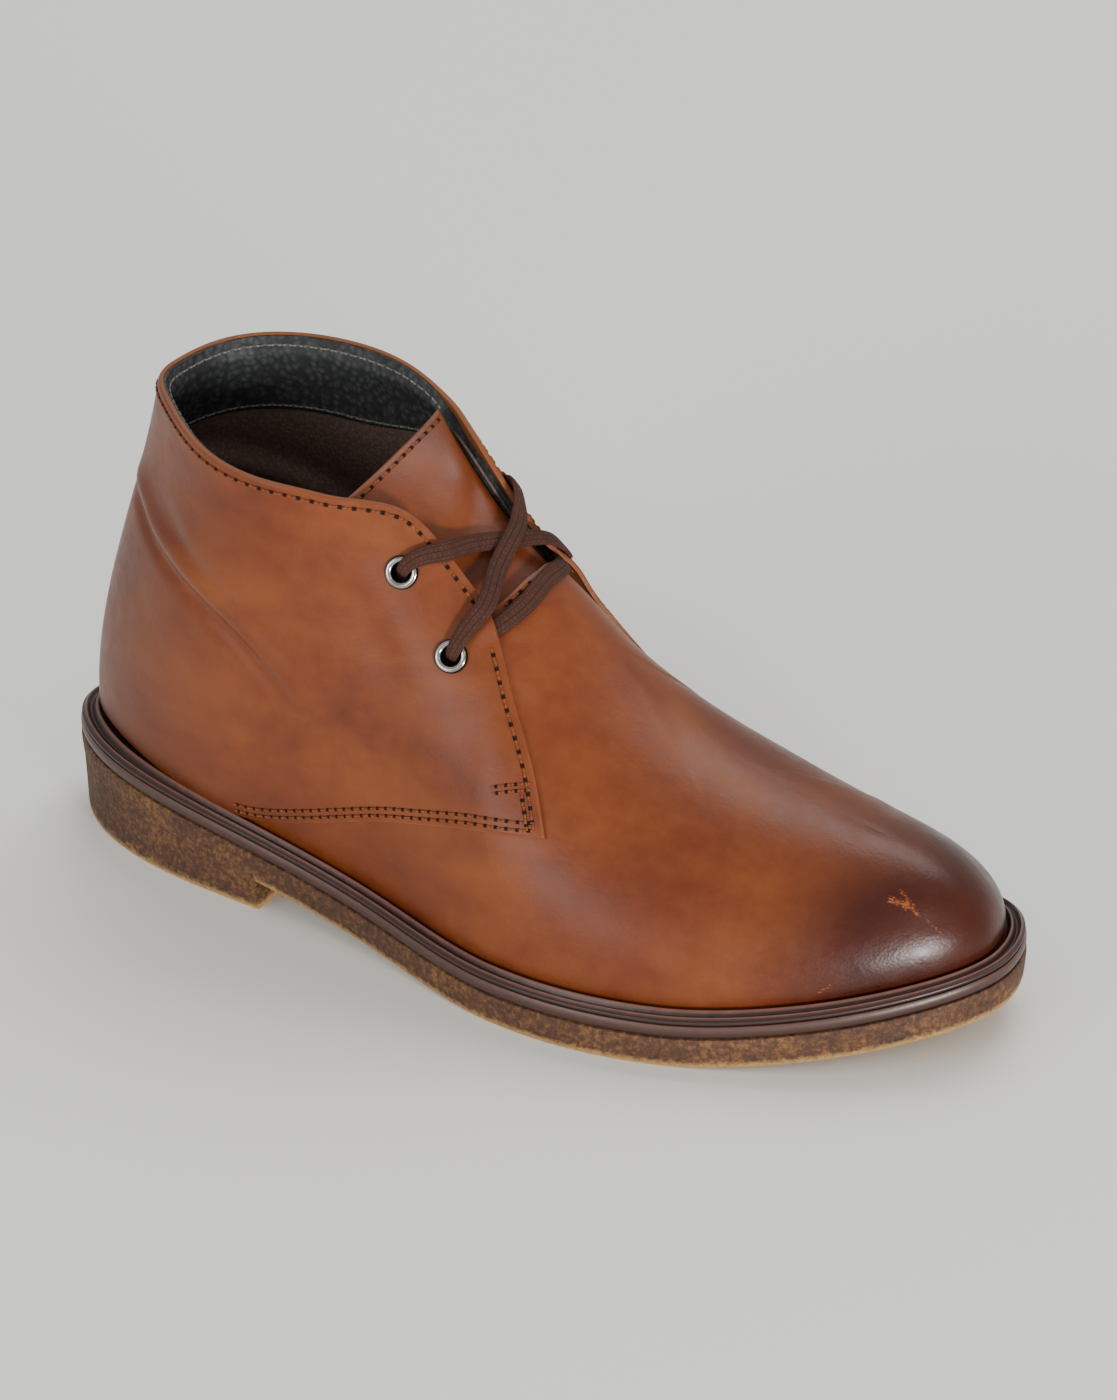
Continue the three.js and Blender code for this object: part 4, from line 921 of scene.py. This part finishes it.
throatEdge = {
    "turn": [0.492, 0.52, 0.55, 0.58, 0.615, 0.648, 0.68, 0.72],
    "outer": [0.70, 0.725, 0.765, 0.81, 0.85, 0.88, 0.9, 0.91],
    "inner": [0.745, 0.775, 0.815, 0.85, 0.88, 0.9, 0.91, 0.915],
}
liningSettings = {"bandDeep": 0.2, "bandThick": 0.55}


def liningGrid(side, u, v):
    # from the back to the throat; the front edge goes straight up inside and then along the throat
    throat = pathOf(throatEdge["turn"], throatEdge[side])
    start, corner = 0.6, throatEdge[side][0]

    def top(s):
        up = throat(np.clip(1 - (s - start) / (1 - start), 0, 1))
        level = (1 - 0.28 * s / start, throatEdge[side][-1] + 0 * s)
        return [np.where(s < start, level[n], up[n]) for n in range(2)]

    bottom = lambda s: (1 - 0.5 * s, 0.0 * s)
    right = lambda s: (0.5 - 0.008 * s, corner * s)
    back = lambda s: (1.0 + 0 * s, throatEdge[side][-1] * s)
    u, v = np.meshgrid(u, v, indexing="ij")
    return coons(bottom, right, top, back, u, v)


liningV = np.linspace(0, 1, 121)
liningU = np.linspace(0, 1, 141)
fronts, backs = [], []
for side in ("outer", "inner"):
    turn, height = liningGrid(side, liningU, liningV)
    base = lastPoint(side, turn, height)
    normal = lastNormal(side, turn, height)
    fold = relief(base)
    fronts.append(base + normal * (fold - 1.6)[..., None])
    backs.append(base + normal * (fold - 2.3)[..., None])
front = np.concatenate([fronts[0][::-1], fronts[1][1:]])
back = np.concatenate([backs[0][::-1], backs[1][1:]])
points, quads = sheetParts(front, back, holes=eyeletHoles("outer", 3.5) + eyeletHoles("inner", 3.5))
makePiece("lining", points, quads, liningBrown, ("upper",))

# The band, sewn inside the collar and on down the throat's edges, comes up to the quarter's
# edge and thins out there.
bandV = edgeSteps(34, 25.0, 1.0)


def bandRow(side, turn, down):
    # heights that are down (0 at the rim, 1 at the lower seam) below the top line
    knots = np.array(quarterFront["turn"] + quarterTop["turn"][-2::-1])
    top = np.interp(turn, knots, np.array(quarterFront[side] + quarterTop[side][-2::-1]))
    deep = 0.35 + 0.27 * smooth((turn - 0.53) / 0.13) + 0.38 * smooth((turn - 0.66) / 0.14)
    low = 0.06 * (1 - smooth((turn - 0.6) / 0.1))
    return top - 0.004 - low - liningSettings["bandDeep"] * deep * down


def bandLift(down):
    # the band's inner face, from just inside the quarter at the rim to the full wall
    return -0.5 - (1.8 + liningSettings["bandThick"]) * smooth(down * 25 / 6.0) ** 0.7


fronts, backs = [], []
for side in ("outer", "inner"):
    turn = np.concatenate([np.linspace(1, 0.67, 120), np.linspace(0.668, 0.483, 110)])
    turn = turn[:, None] + 0 * bandV
    height = bandRow(side, turn, 1 - bandV)
    base = lastPoint(side, turn, height)
    normal = lastNormal(side, turn, height)
    fold = relief(base)
    under = -2.2 + 2.45 * smooth((bandV - 0.7) / 0.25)
    lift = bandLift(1 - bandV) + rolled(edgeDistance(bandV, 25.0, (True, False)), 0.3, 1.0)
    fronts.append(base + normal * (fold + np.maximum(under, lift + 0.3))[..., None])
    backs.append(base + normal * (fold + lift)[..., None])
front = np.concatenate([fronts[0][::-1], fronts[1][1:]])
back = np.concatenate([backs[0][::-1], backs[1][1:]])
points, quads = sheetParts(front, back)
makePiece("collarBand", points, quads, liningBlack, ("upper",))
print("lining made")

sockProfile = [(9.6, 13.7), (9.0, 13.9), (8.9, 15.0), (9.1, 16.2), (10.2, 16.7)]
points, quads = layerParts(sockProfile, 120, 14)
makePiece("sock", points, quads, sockLeather, ("insole",))

tongueMiddle = {"along": [0, 0.18, 0.45, 0.75, 1],
                "x": [165.5, 153.5, 137, 121, 110], "z": [95, 105.3, 117.2, 127.8, 134]}
tongueSide = {
    "outer": {"turn": [0.435, 0.472, 0.53, 0.6, 0.655], "height": [0.72, 0.66, 0.68, 0.8, 0.94],
              "deep": [2.8, 4.2, 4.4, 4.2, 4.0]},
    "inner": {"turn": [0.435, 0.472, 0.53, 0.6, 0.66], "height": [0.76, 0.72, 0.77, 0.87, 0.972],
              "deep": [2.8, 3.6, 3.4, 3.2, 3.0]},
}


def tonguePoint(along, across):
    # a bow through one side at -1, the middle at 0 and the other side at 1:
    # middle + across·(half width) + |across|^2.6·(mean of sides - middle)
    knots = tongueMiddle["along"]
    ends = []
    for side, table in tongueSide.items():
        turn, height, deep = (bend(knots, table[key], along) for key in ("turn", "height", "deep"))
        ends.append(lastPoint(side, turn, height) - lastNormal(side, turn, height) * deep[..., None])
    a, b = ends
    middle = np.stack([bend(knots, tongueMiddle["x"], along), 0 * along,
                       bend(knots, tongueMiddle["z"], along)], -1)
    s = across[..., None]
    return middle + s * (b - a) / 2 + np.abs(s) ** 2.6 * ((a + b) / 2 - middle)


def tongueNormal(along, across):
    step = 0.01
    t, s = np.clip(along, step, 1 - step), np.clip(across, step - 1, 1 - step)
    sideways = tonguePoint(t, s + step) - tonguePoint(t, s - step)
    upward = tonguePoint(t + step, s) - tonguePoint(t - step, s)
    return unit(np.cross(sideways, upward))


along, across = np.meshgrid(edgeSteps(90, 70.0), 2 * edgeSteps(90, 48.0) - 1, indexing="ij")
base, normal = tonguePoint(along, across), tongueNormal(along, across)
distance = np.minimum((1 - along) * 70, (1 - np.abs(across)) * 24)
wave = (0.5 * np.exp(-((along - 0.62 - 0.1 * across) / 0.07) ** 2)
        - 0.5 * np.exp(-((along - 0.5 - 0.12 * across) / 0.05) ** 2)) * smooth((0.9 - np.abs(across)) / 0.5)
front = base + normal * (wave - rolled(distance))[..., None]
back = base + normal * (wave - 2.0)[..., None]
points, quads = sheetParts(front, back)
cut = np.clip(1 - distance / 0.5, 0, 1) * 0.7
makePiece("tongueLeather", points, quads, calf, ("tongue",),
          {"burnish": np.zeros(2 * cut.size), "scuff": np.zeros(2 * cut.size),
           "cutEdge": np.concatenate([cut.ravel(), 0.3 + 0 * cut.ravel()])})
print("tongue made")

eyeletSettings = {"bore": 2.65, "flange": 4.75, "low": -2.75, "seat": 1.75}


def eyeletParts(side, turn, height):
    # a lathe: up the bore, over the roll, in under it, down outside and out along the foot
    centre = lastPoint(side, np.array(turn), np.array(height))
    axis = lastNormal(side, np.array(turn), np.array(height))
    first = unit(np.cross(axis, [0.0, 0, 1]))
    second = np.cross(axis, first)
    seat, bore, flange = (eyeletSettings[key] for key in ("seat", "bore", "flange"))
    middle, half = (bore + flange) / 2, (flange - bore) / 2
    arc = np.linspace(np.pi, 0, 14)
    low = eyeletSettings["low"]
    radius = np.concatenate([[4.3, bore + 0.2, bore], middle + half * np.cos(arc),
                             [flange, bore + 0.4, bore + 0.4, 4.3]])
    lift = np.concatenate([[low + 0.1, low - 0.05, low + 0.3], seat + 0.25 + 0.95 * np.sin(arc),
                           [seat, seat, low + 0.5, low + 0.45]])
    # partly tarnish, partly painted shade: dark down the bore, on the outer and inner sides of the roll and
    # round the foot, so only the roll's crest keeps the plate colour
    tarnish = np.concatenate([[0.8, 0.8, 0.7], smooth((np.cos(arc) - 0.45) / 0.25)
                              + 0.8 * smooth((-0.55 - np.cos(arc)) / 0.25), [1, 1, 1, 1]])
    angle = np.linspace(0, 2 * np.pi, 48, endpoint=False)
    ring = np.cos(angle)[:, None, None] * first + np.sin(angle)[:, None, None] * second
    rows = centre + ring * radius[None, :, None] + lift[None, :, None] * axis
    return rows, np.tile(tarnish, len(angle))


for name, (side, turn, height) in eyeletSpots.items():
    rows, tarnish = eyeletParts(side, turn, height)
    makePiece(name.replace("eyelet_", "plated_"), rows, gridQuads(*rows.shape[:2], True, True),
              nickel, (name,), {"tarnish": tarnish}, crease=50)
print("eyelets made")

# Out of the outer top eyelet, over to the inner low one, back inside and across the vamp's
# edge to the outer low one, and over the first crossing to the inner top one: which face, its
# two shares, then lift, width and thickness in millimetres.
laceRows = [
    ("outer", 0.572, 0.7, -2.8, 3.4, 1.8), ("outer", 0.572, 0.7, 1.2, 3.6, 1.8),
    ("outer", 0.566, 0.722, 3.5, 4.4, 1.6), ("outer", 0.551, 0.755, 3.3, 5.2, 1.4),
    ("outer", 0.534, 0.787, 3.6, 5.6, 1.4), ("tongue", 0.45, -0.45, 3.4, 5.6, 1.4),
    ("tongue", 0.37, -0.11, 2.6, 5.6, 1.4),
    ("tongue", 0.3, 0.26, 3.0, 5.6, 1.4), ("inner", 0.481, 0.86, 3.7, 5.6, 1.4),
    ("inner", 0.478, 0.8, 4.2, 5.6, 1.4), ("inner", 0.484, 0.74, 4.2, 5.4, 1.4),
    ("inner", 0.503, 0.662, 3.7, 4.4, 1.6), ("inner", 0.51, 0.635, 1.2, 3.6, 1.8),
    ("inner", 0.51, 0.635, -2.6, 3.6, 1.6), ("inner", 0.506, 0.662, -4.0, 4.6, 1.2),
    ("inner", 0.492, 0.712, -2.5, 5.0, 1.2), ("inner", 0.478, 0.76, 0.95, 5.4, 1.3),
    ("inner", 0.461, 0.87, 1.1, 5.6, 1.3), ("outer", 0.4555, 0.99, 1.1, 5.6, 1.3),
    ("outer", 0.457, 0.87, 1.1, 5.6, 1.3), ("outer", 0.473, 0.733, 0.95, 5.4, 1.3),
    ("outer", 0.49, 0.672, -2.5, 5.0, 1.2), ("outer", 0.505, 0.62, -4.0, 4.6, 1.2),
    ("outer", 0.51, 0.593, -2.6, 3.6, 1.6), ("outer", 0.51, 0.593, 1.2, 3.6, 1.8),
    ("outer", 0.506, 0.62, 3.6, 4.4, 1.6), ("outer", 0.496, 0.685, 4.4, 5.4, 1.4),
    ("outer", 0.4885, 0.742, 4.9, 5.6, 1.4), ("tongue", 0.303, -0.46, 4.2, 5.6, 1.4),
    ("tongue", 0.315, -0.2, 4.0, 5.6, 1.4),
    ("tongue", 0.33, 0.11, 4.4, 5.6, 1.4), ("tongue", 0.38, 0.53, 4.4, 5.6, 1.4),
    ("inner", 0.527, 0.86, 3.6, 5.6, 1.4), ("inner", 0.543, 0.805, 2.8, 5.4, 1.4),
    ("inner", 0.565, 0.758, 3.6, 4.4, 1.6), ("inner", 0.572, 0.74, 1.2, 3.6, 1.8),
    ("inner", 0.572, 0.74, -2.8, 3.4, 1.8),
]
laceSettings = {"steps": 620, "sides": 20}


def laceParts():
    # a flat rounded section |c|^0.6, |s|^0.6 carried along a spline through the rows, its
    # flat side along the face that it lies on
    spots, ups = [], []
    for place, first, second, lift, _, _ in laceRows:
        a, b = np.array(first), np.array(second)
        if place == "tongue":
            spot, up = tonguePoint(a, b), tongueNormal(a, b)
        else:
            spot, up = lastPoint(place, a, b), lastNormal(place, a, b)
        spots.append(spot + up * lift)
        ups.append(up)
    spots, ups = np.array(spots), np.array(ups)
    run = np.concatenate([[0], np.cumsum(np.linalg.norm(np.diff(spots, axis=0), axis=1) ** 0.5)])
    run /= run[-1]
    s = np.linspace(0, 1, laceSettings["steps"])
    route = np.stack([bend(run, spots[:, n], s) for n in range(3)], -1)
    ahead = unit(np.gradient(route, axis=0))
    up = np.stack([np.interp(s, run, ups[:, n]) for n in range(3)], -1)
    wide = np.interp(s, run, [row[4] for row in laceRows])
    thick = np.interp(s, run, [row[5] for row in laceRows])
    across = np.cross(ahead, up)
    flip = np.concatenate([[1], np.where((across[1:] * across[:-1]).sum(1) < 0, -1, 1)]).cumprod()
    across = across * flip[:, None]
    kernel = np.hanning(25) / np.hanning(25).sum()
    across = np.stack([np.convolve(np.pad(across[:, n], 12, mode="edge"), kernel, "valid")
                       for n in range(3)], -1)
    across = unit(across - ahead * (across * ahead).sum(1, keepdims=True))
    side = np.cross(ahead, across)
    angle = np.linspace(0, 2 * np.pi, laceSettings["sides"], endpoint=False)
    c = np.sign(np.cos(angle)) * np.abs(np.cos(angle)) ** 0.75
    q = np.sign(np.sin(angle)) * np.abs(np.sin(angle)) ** 0.75
    rings = (route[:, None] + across[:, None] * (wide[:, None] / 2 * c)[..., None]
             + side[:, None] * (thick[:, None] / 2 * q)[..., None])
    length = np.concatenate([[0], np.cumsum(np.linalg.norm(np.diff(route, axis=0), axis=1))])
    uv = np.stack(np.broadcast_arrays(length[:, None], (angle / (2 * np.pi) * 12)[None]), -1)
    caps = [np.repeat(route[:1, None], laceSettings["sides"], 1),
            np.repeat(route[-1:, None], laceSettings["sides"], 1)]
    rings = np.concatenate([caps[0], rings, caps[1]])
    return rings, np.concatenate([uv[:1], uv, uv[-1:]])


rings, uv = laceParts()
makePiece("flatLace", rings, gridQuads(*rings.shape[:2], closedColumns=True), laceCotton,
          ("lace",), uv=uv, crease=60)
print("lace made")

stitchSettings = {"pitch": 3.9, "radius": 0.46, "sides": 8}


def stitchParts(path, normals, pitch, radius):
    # each bead runs from the middle of one stitch to the middle of the next, s from -1 to 1:
    # thread, risen by a third of its radius, gives way within |s| = 0.4 to a needle hole painted dark
    # as shade, a flat button as wide as radius·(0.8 + 0.5·hole); the bead closes as sqrt(1 - s^40)
    run = np.concatenate([[0], np.cumsum(np.linalg.norm(np.diff(path, axis=0), axis=1))])
    count = max(int(run[-1] / pitch), 1)
    step = run[-1] / count
    s = np.array([-1, -0.985, -0.8, -0.55, -0.4, -0.3, -0.15, 0, 0.15, 0.3, 0.4, 0.55, 0.8, 0.985, 1])
    at = (np.arange(count) + 0.5)[:, None] * step + s * step / 2
    spot = np.stack([np.interp(at, run, path[:, n]) for n in range(3)], -1)
    up = unit(np.stack([np.interp(at, run, normals[:, n]) for n in range(3)], -1))
    ahead = unit(np.stack([np.interp(at + 0.2, run, path[:, n]) - np.interp(at - 0.2, run, path[:, n])
                           for n in range(3)], -1))
    side = np.cross(up, ahead)
    hole = 1 - smooth((np.abs(s) - 0.26) / 0.16)
    wide = radius * (0.8 + 0.5 * hole) * np.sqrt(np.maximum(1 - s ** 40, 0))
    tall = wide * (1 - 0.75 * hole)
    rise = radius * (0.35 - 0.36 * hole)
    angle = np.linspace(0, 2 * np.pi, stitchSettings["sides"], endpoint=False)
    ring = (side[:, :, None] * (wide[:, None] * np.cos(angle))[..., None]
            + up[:, :, None] * (tall[:, None] * np.sin(angle))[..., None])
    points = (spot + up * rise[:, None])[:, :, None] + ring
    rows, around = len(s), len(angle)
    quads = gridQuads(rows, around, closedColumns=True)
    every = (quads[None] + (np.arange(count) * rows * around)[:, None, None]).reshape(-1, 4)
    # painted shade at the needle holes
    dip = np.broadcast_to(hole[None, :, None], points.shape[:3])
    return points.reshape(-1, 3), every, dip.ravel()


def sewRow(rows, side, turn, height, lift, **how):
    base = lastPoint(side, turn, height)
    normal = lastNormal(side, turn, height)
    path = base + normal * (lift + relief(base))[:, None]
    settings = {key: stitchSettings[key] for key in ("pitch", "radius")}
    settings.update(how)
    rows.append(stitchParts(path, normal, **settings))


def insetPath(side, turn, height, away, inward):
    # the path moved by away millimetres on the surface, to the side that inward points at
    base = lastPoint(side, turn, height)
    normal = lastNormal(side, turn, height)
    ahead = unit(np.gradient(base, axis=0))
    aside = np.cross(normal, ahead)
    aside *= np.sign((aside * (inward - base)).sum(1).mean())
    return base + aside * away, normal


def sewInset(rows, side, turn, height, away, inward, lift, **how):
    path, normal = insetPath(side, turn, height, away, inward)
    path = path + normal * (lift + relief(path))[:, None]
    settings = {key: stitchSettings[key] for key in ("pitch", "radius")}
    settings.update(how)
    rows.append(stitchParts(path, normal, **settings))


def joinParts(rows):
    points, quads, holeShades, total = [], [], [], 0
    for part, faces, dip in rows:
        points.append(part)
        quads.append(faces + total)
        holeShades.append(dip)
        total += len(part)
    return np.concatenate(points), np.concatenate(quads), np.concatenate(holeShades)


for side in ("outer", "inner"):
    rows = []
    middle = lastPoint(side, np.array(0.75), np.array(0.5))
    lift = panelSettings["quarterHigh"]
    share = np.linspace(0, 1, 160)
    up = pathOf(quarterFront["turn"], quarterFront[side])(share[6:])
    back = pathOf(quarterTop["turn"], quarterTop[side])(1 - share[1:])
    turn = np.minimum(np.concatenate([up[0], back[0]]), 0.9995)
    height = np.minimum(np.concatenate([up[1], back[1]]), 0.9995)
    sewInset(rows, side, turn, height, 2.5, middle, lift)
    sewInset(rows, side, turn[:22], height[:22], 4.3, middle, lift, pitch=3.2)
    footTurn = np.linspace(0.409, 0.735, 200)
    footHeight = bend(quarterFoot["turn"][::-1], quarterFoot["height"][::-1], footTurn)
    for away in (1.9, 4.0):
        sewInset(rows, side, footTurn, footHeight, away, middle, lift, pitch=3.2, radius=0.42)
    # two short rows tack the quarter's tip down
    tackTurn = np.linspace(0.4185, 0.453, 40)
    tackHeight = 0.506 - 2.2 * (tackTurn - 0.4185) + (0.012 if side == "inner" else 0)
    for away in (0.0, 1.8):
        sewInset(rows, side, tackTurn, tackHeight, away, lastPoint(side, np.array(0.43), np.array(0.3)),
                 lift, pitch=2.7, radius=0.42)
    points, quads, dip = joinParts(rows)
    makePiece("stitches" + side.capitalize(), points, quads, brownThread,
              values={"dip": dip}, crease=80)

rows = []
along = np.full(120, 0.955)
across = np.linspace(-0.93, 0.93, 120)
rows.append(stitchParts(tonguePoint(along, across), tongueNormal(along, across), 3.9, 0.46))
height = np.linspace(0.79, 1, 80)
for side in ("outer", "inner"):
    turn = bend(vampEnd["height"], vampEnd["turn"], height) - 0.0035
    sewRow(rows, side, turn, height, 0.0)
points, quads, dip = joinParts(rows)
makePiece("stitchesTongue", points, quads, brownThread, values={"dip": dip}, crease=80)

rows = []
for side in ("outer", "inner"):
    turn = np.linspace(0.672, 0.999, 200)
    for down in (0.1, 0.94):
        height = bandRow(side, turn, down)
        base = lastPoint(side, turn, height)
        normal = lastNormal(side, turn, height)
        lift = bandLift(down) + relief(base)
        rows.append(stitchParts(base + normal * lift[:, None], -normal, 3.2, 0.36))
points, quads, dip = joinParts(rows)
# the grey thread's needle holes get half the painted shade
makePiece("stitchesLining", points, quads, greyThread, values={"dip": dip * 0.5}, crease=80)
print("stitches made")

stageSettings = {"floor": "#F1F2EF", "floorSize": 6.0, "sky": 0.7}
material, tree, shader = startMaterial("paleFloor")
shader.inputs["Base Color"].default_value = colour(stageSettings["floor"])
shader.inputs["Roughness"].default_value = 0.7
mesh = bpy.data.meshes.new("paleFloor")
half = stageSettings["floorSize"]
mesh.from_pydata([(-half, -half, 0), (half, -half, 0), (half, half, 0), (-half, half, 0)], [], [(0, 1, 2, 3)])
mesh.materials.append(material)
floor = bpy.data.objects.new("paleFloor", mesh)
bpy.context.scene.collection.objects.link(floor)

world = bpy.data.worlds.new("studioAir")
bpy.context.scene.world = world
world.use_nodes = True
world.node_tree.nodes["Background"].inputs["Color"].default_value = colour("#F6F4F0")
world.node_tree.nodes["Background"].inputs["Strength"].default_value = stageSettings["sky"]


def softBox(name, place, target, size, power):
    lamp = bpy.data.lights.new(name, "AREA")
    lamp.shape = "RECTANGLE"
    lamp.size, lamp.size_y = size
    lamp.energy = power
    holder = bpy.data.objects.new(name, lamp)
    bpy.context.scene.collection.objects.link(holder)
    back = unit(np.array(place, float) - np.array(target, float))
    side = unit(np.cross([0, 0, 1.0], back))
    up = np.cross(back, side)
    holder.matrix_world = Matrix([[side[i], up[i], back[i], place[i]] for i in range(3)] + [[0, 0, 0, 1]])


softBox("back", (-0.12, 1.9, 3.1), (0, 0, 0.05), (2.6, 1.8), 60)
softBox("left", (-0.8, -2.65, 0.95), (0, 0, 0.05), (1.6, 1.0), 30)
softBox("right", (1.25, -0.65, 1.15), (0, 0, 0.05), (0.3, 0.3), 1.2)
softBox("low", (1.34, -0.92, 0.13), (0.12, 0, 0.04), (0.24, 0.22), 30)

# The lens looks this far round and down at the boot.
lens = {"place": (871.1, -1170.7, 807.2), "yaw": -31.245, "pitch": 28.331, "roll": -0.983,
        "length": 180}
yaw, pitch, roll = (math.radians(lens[key]) for key in ("yaw", "pitch", "roll"))
ahead = np.array([math.sin(yaw) * math.cos(pitch), math.cos(yaw) * math.cos(pitch), -math.sin(pitch)])
right = np.array([math.cos(yaw), -math.sin(yaw), 0])
up = np.cross(right, ahead)
turnedRight = right * math.cos(roll) + up * math.sin(roll)
turnedUp = up * math.cos(roll) - right * math.sin(roll)
place = toFrame(np.array(lens["place"]))
camera = bpy.data.objects.new("camera", bpy.data.cameras.new("camera"))
camera.data.sensor_fit = "HORIZONTAL"
camera.data.sensor_width = 36
camera.data.lens = lens["length"]
camera.data.clip_end = 30
camera.matrix_world = Matrix([[turnedRight[i], turnedUp[i], -ahead[i], place[i]] for i in range(3)]
                             + [[0, 0, 0, 1]])
bpy.context.scene.collection.objects.link(camera)
bpy.context.scene.camera = camera

print("scene made")
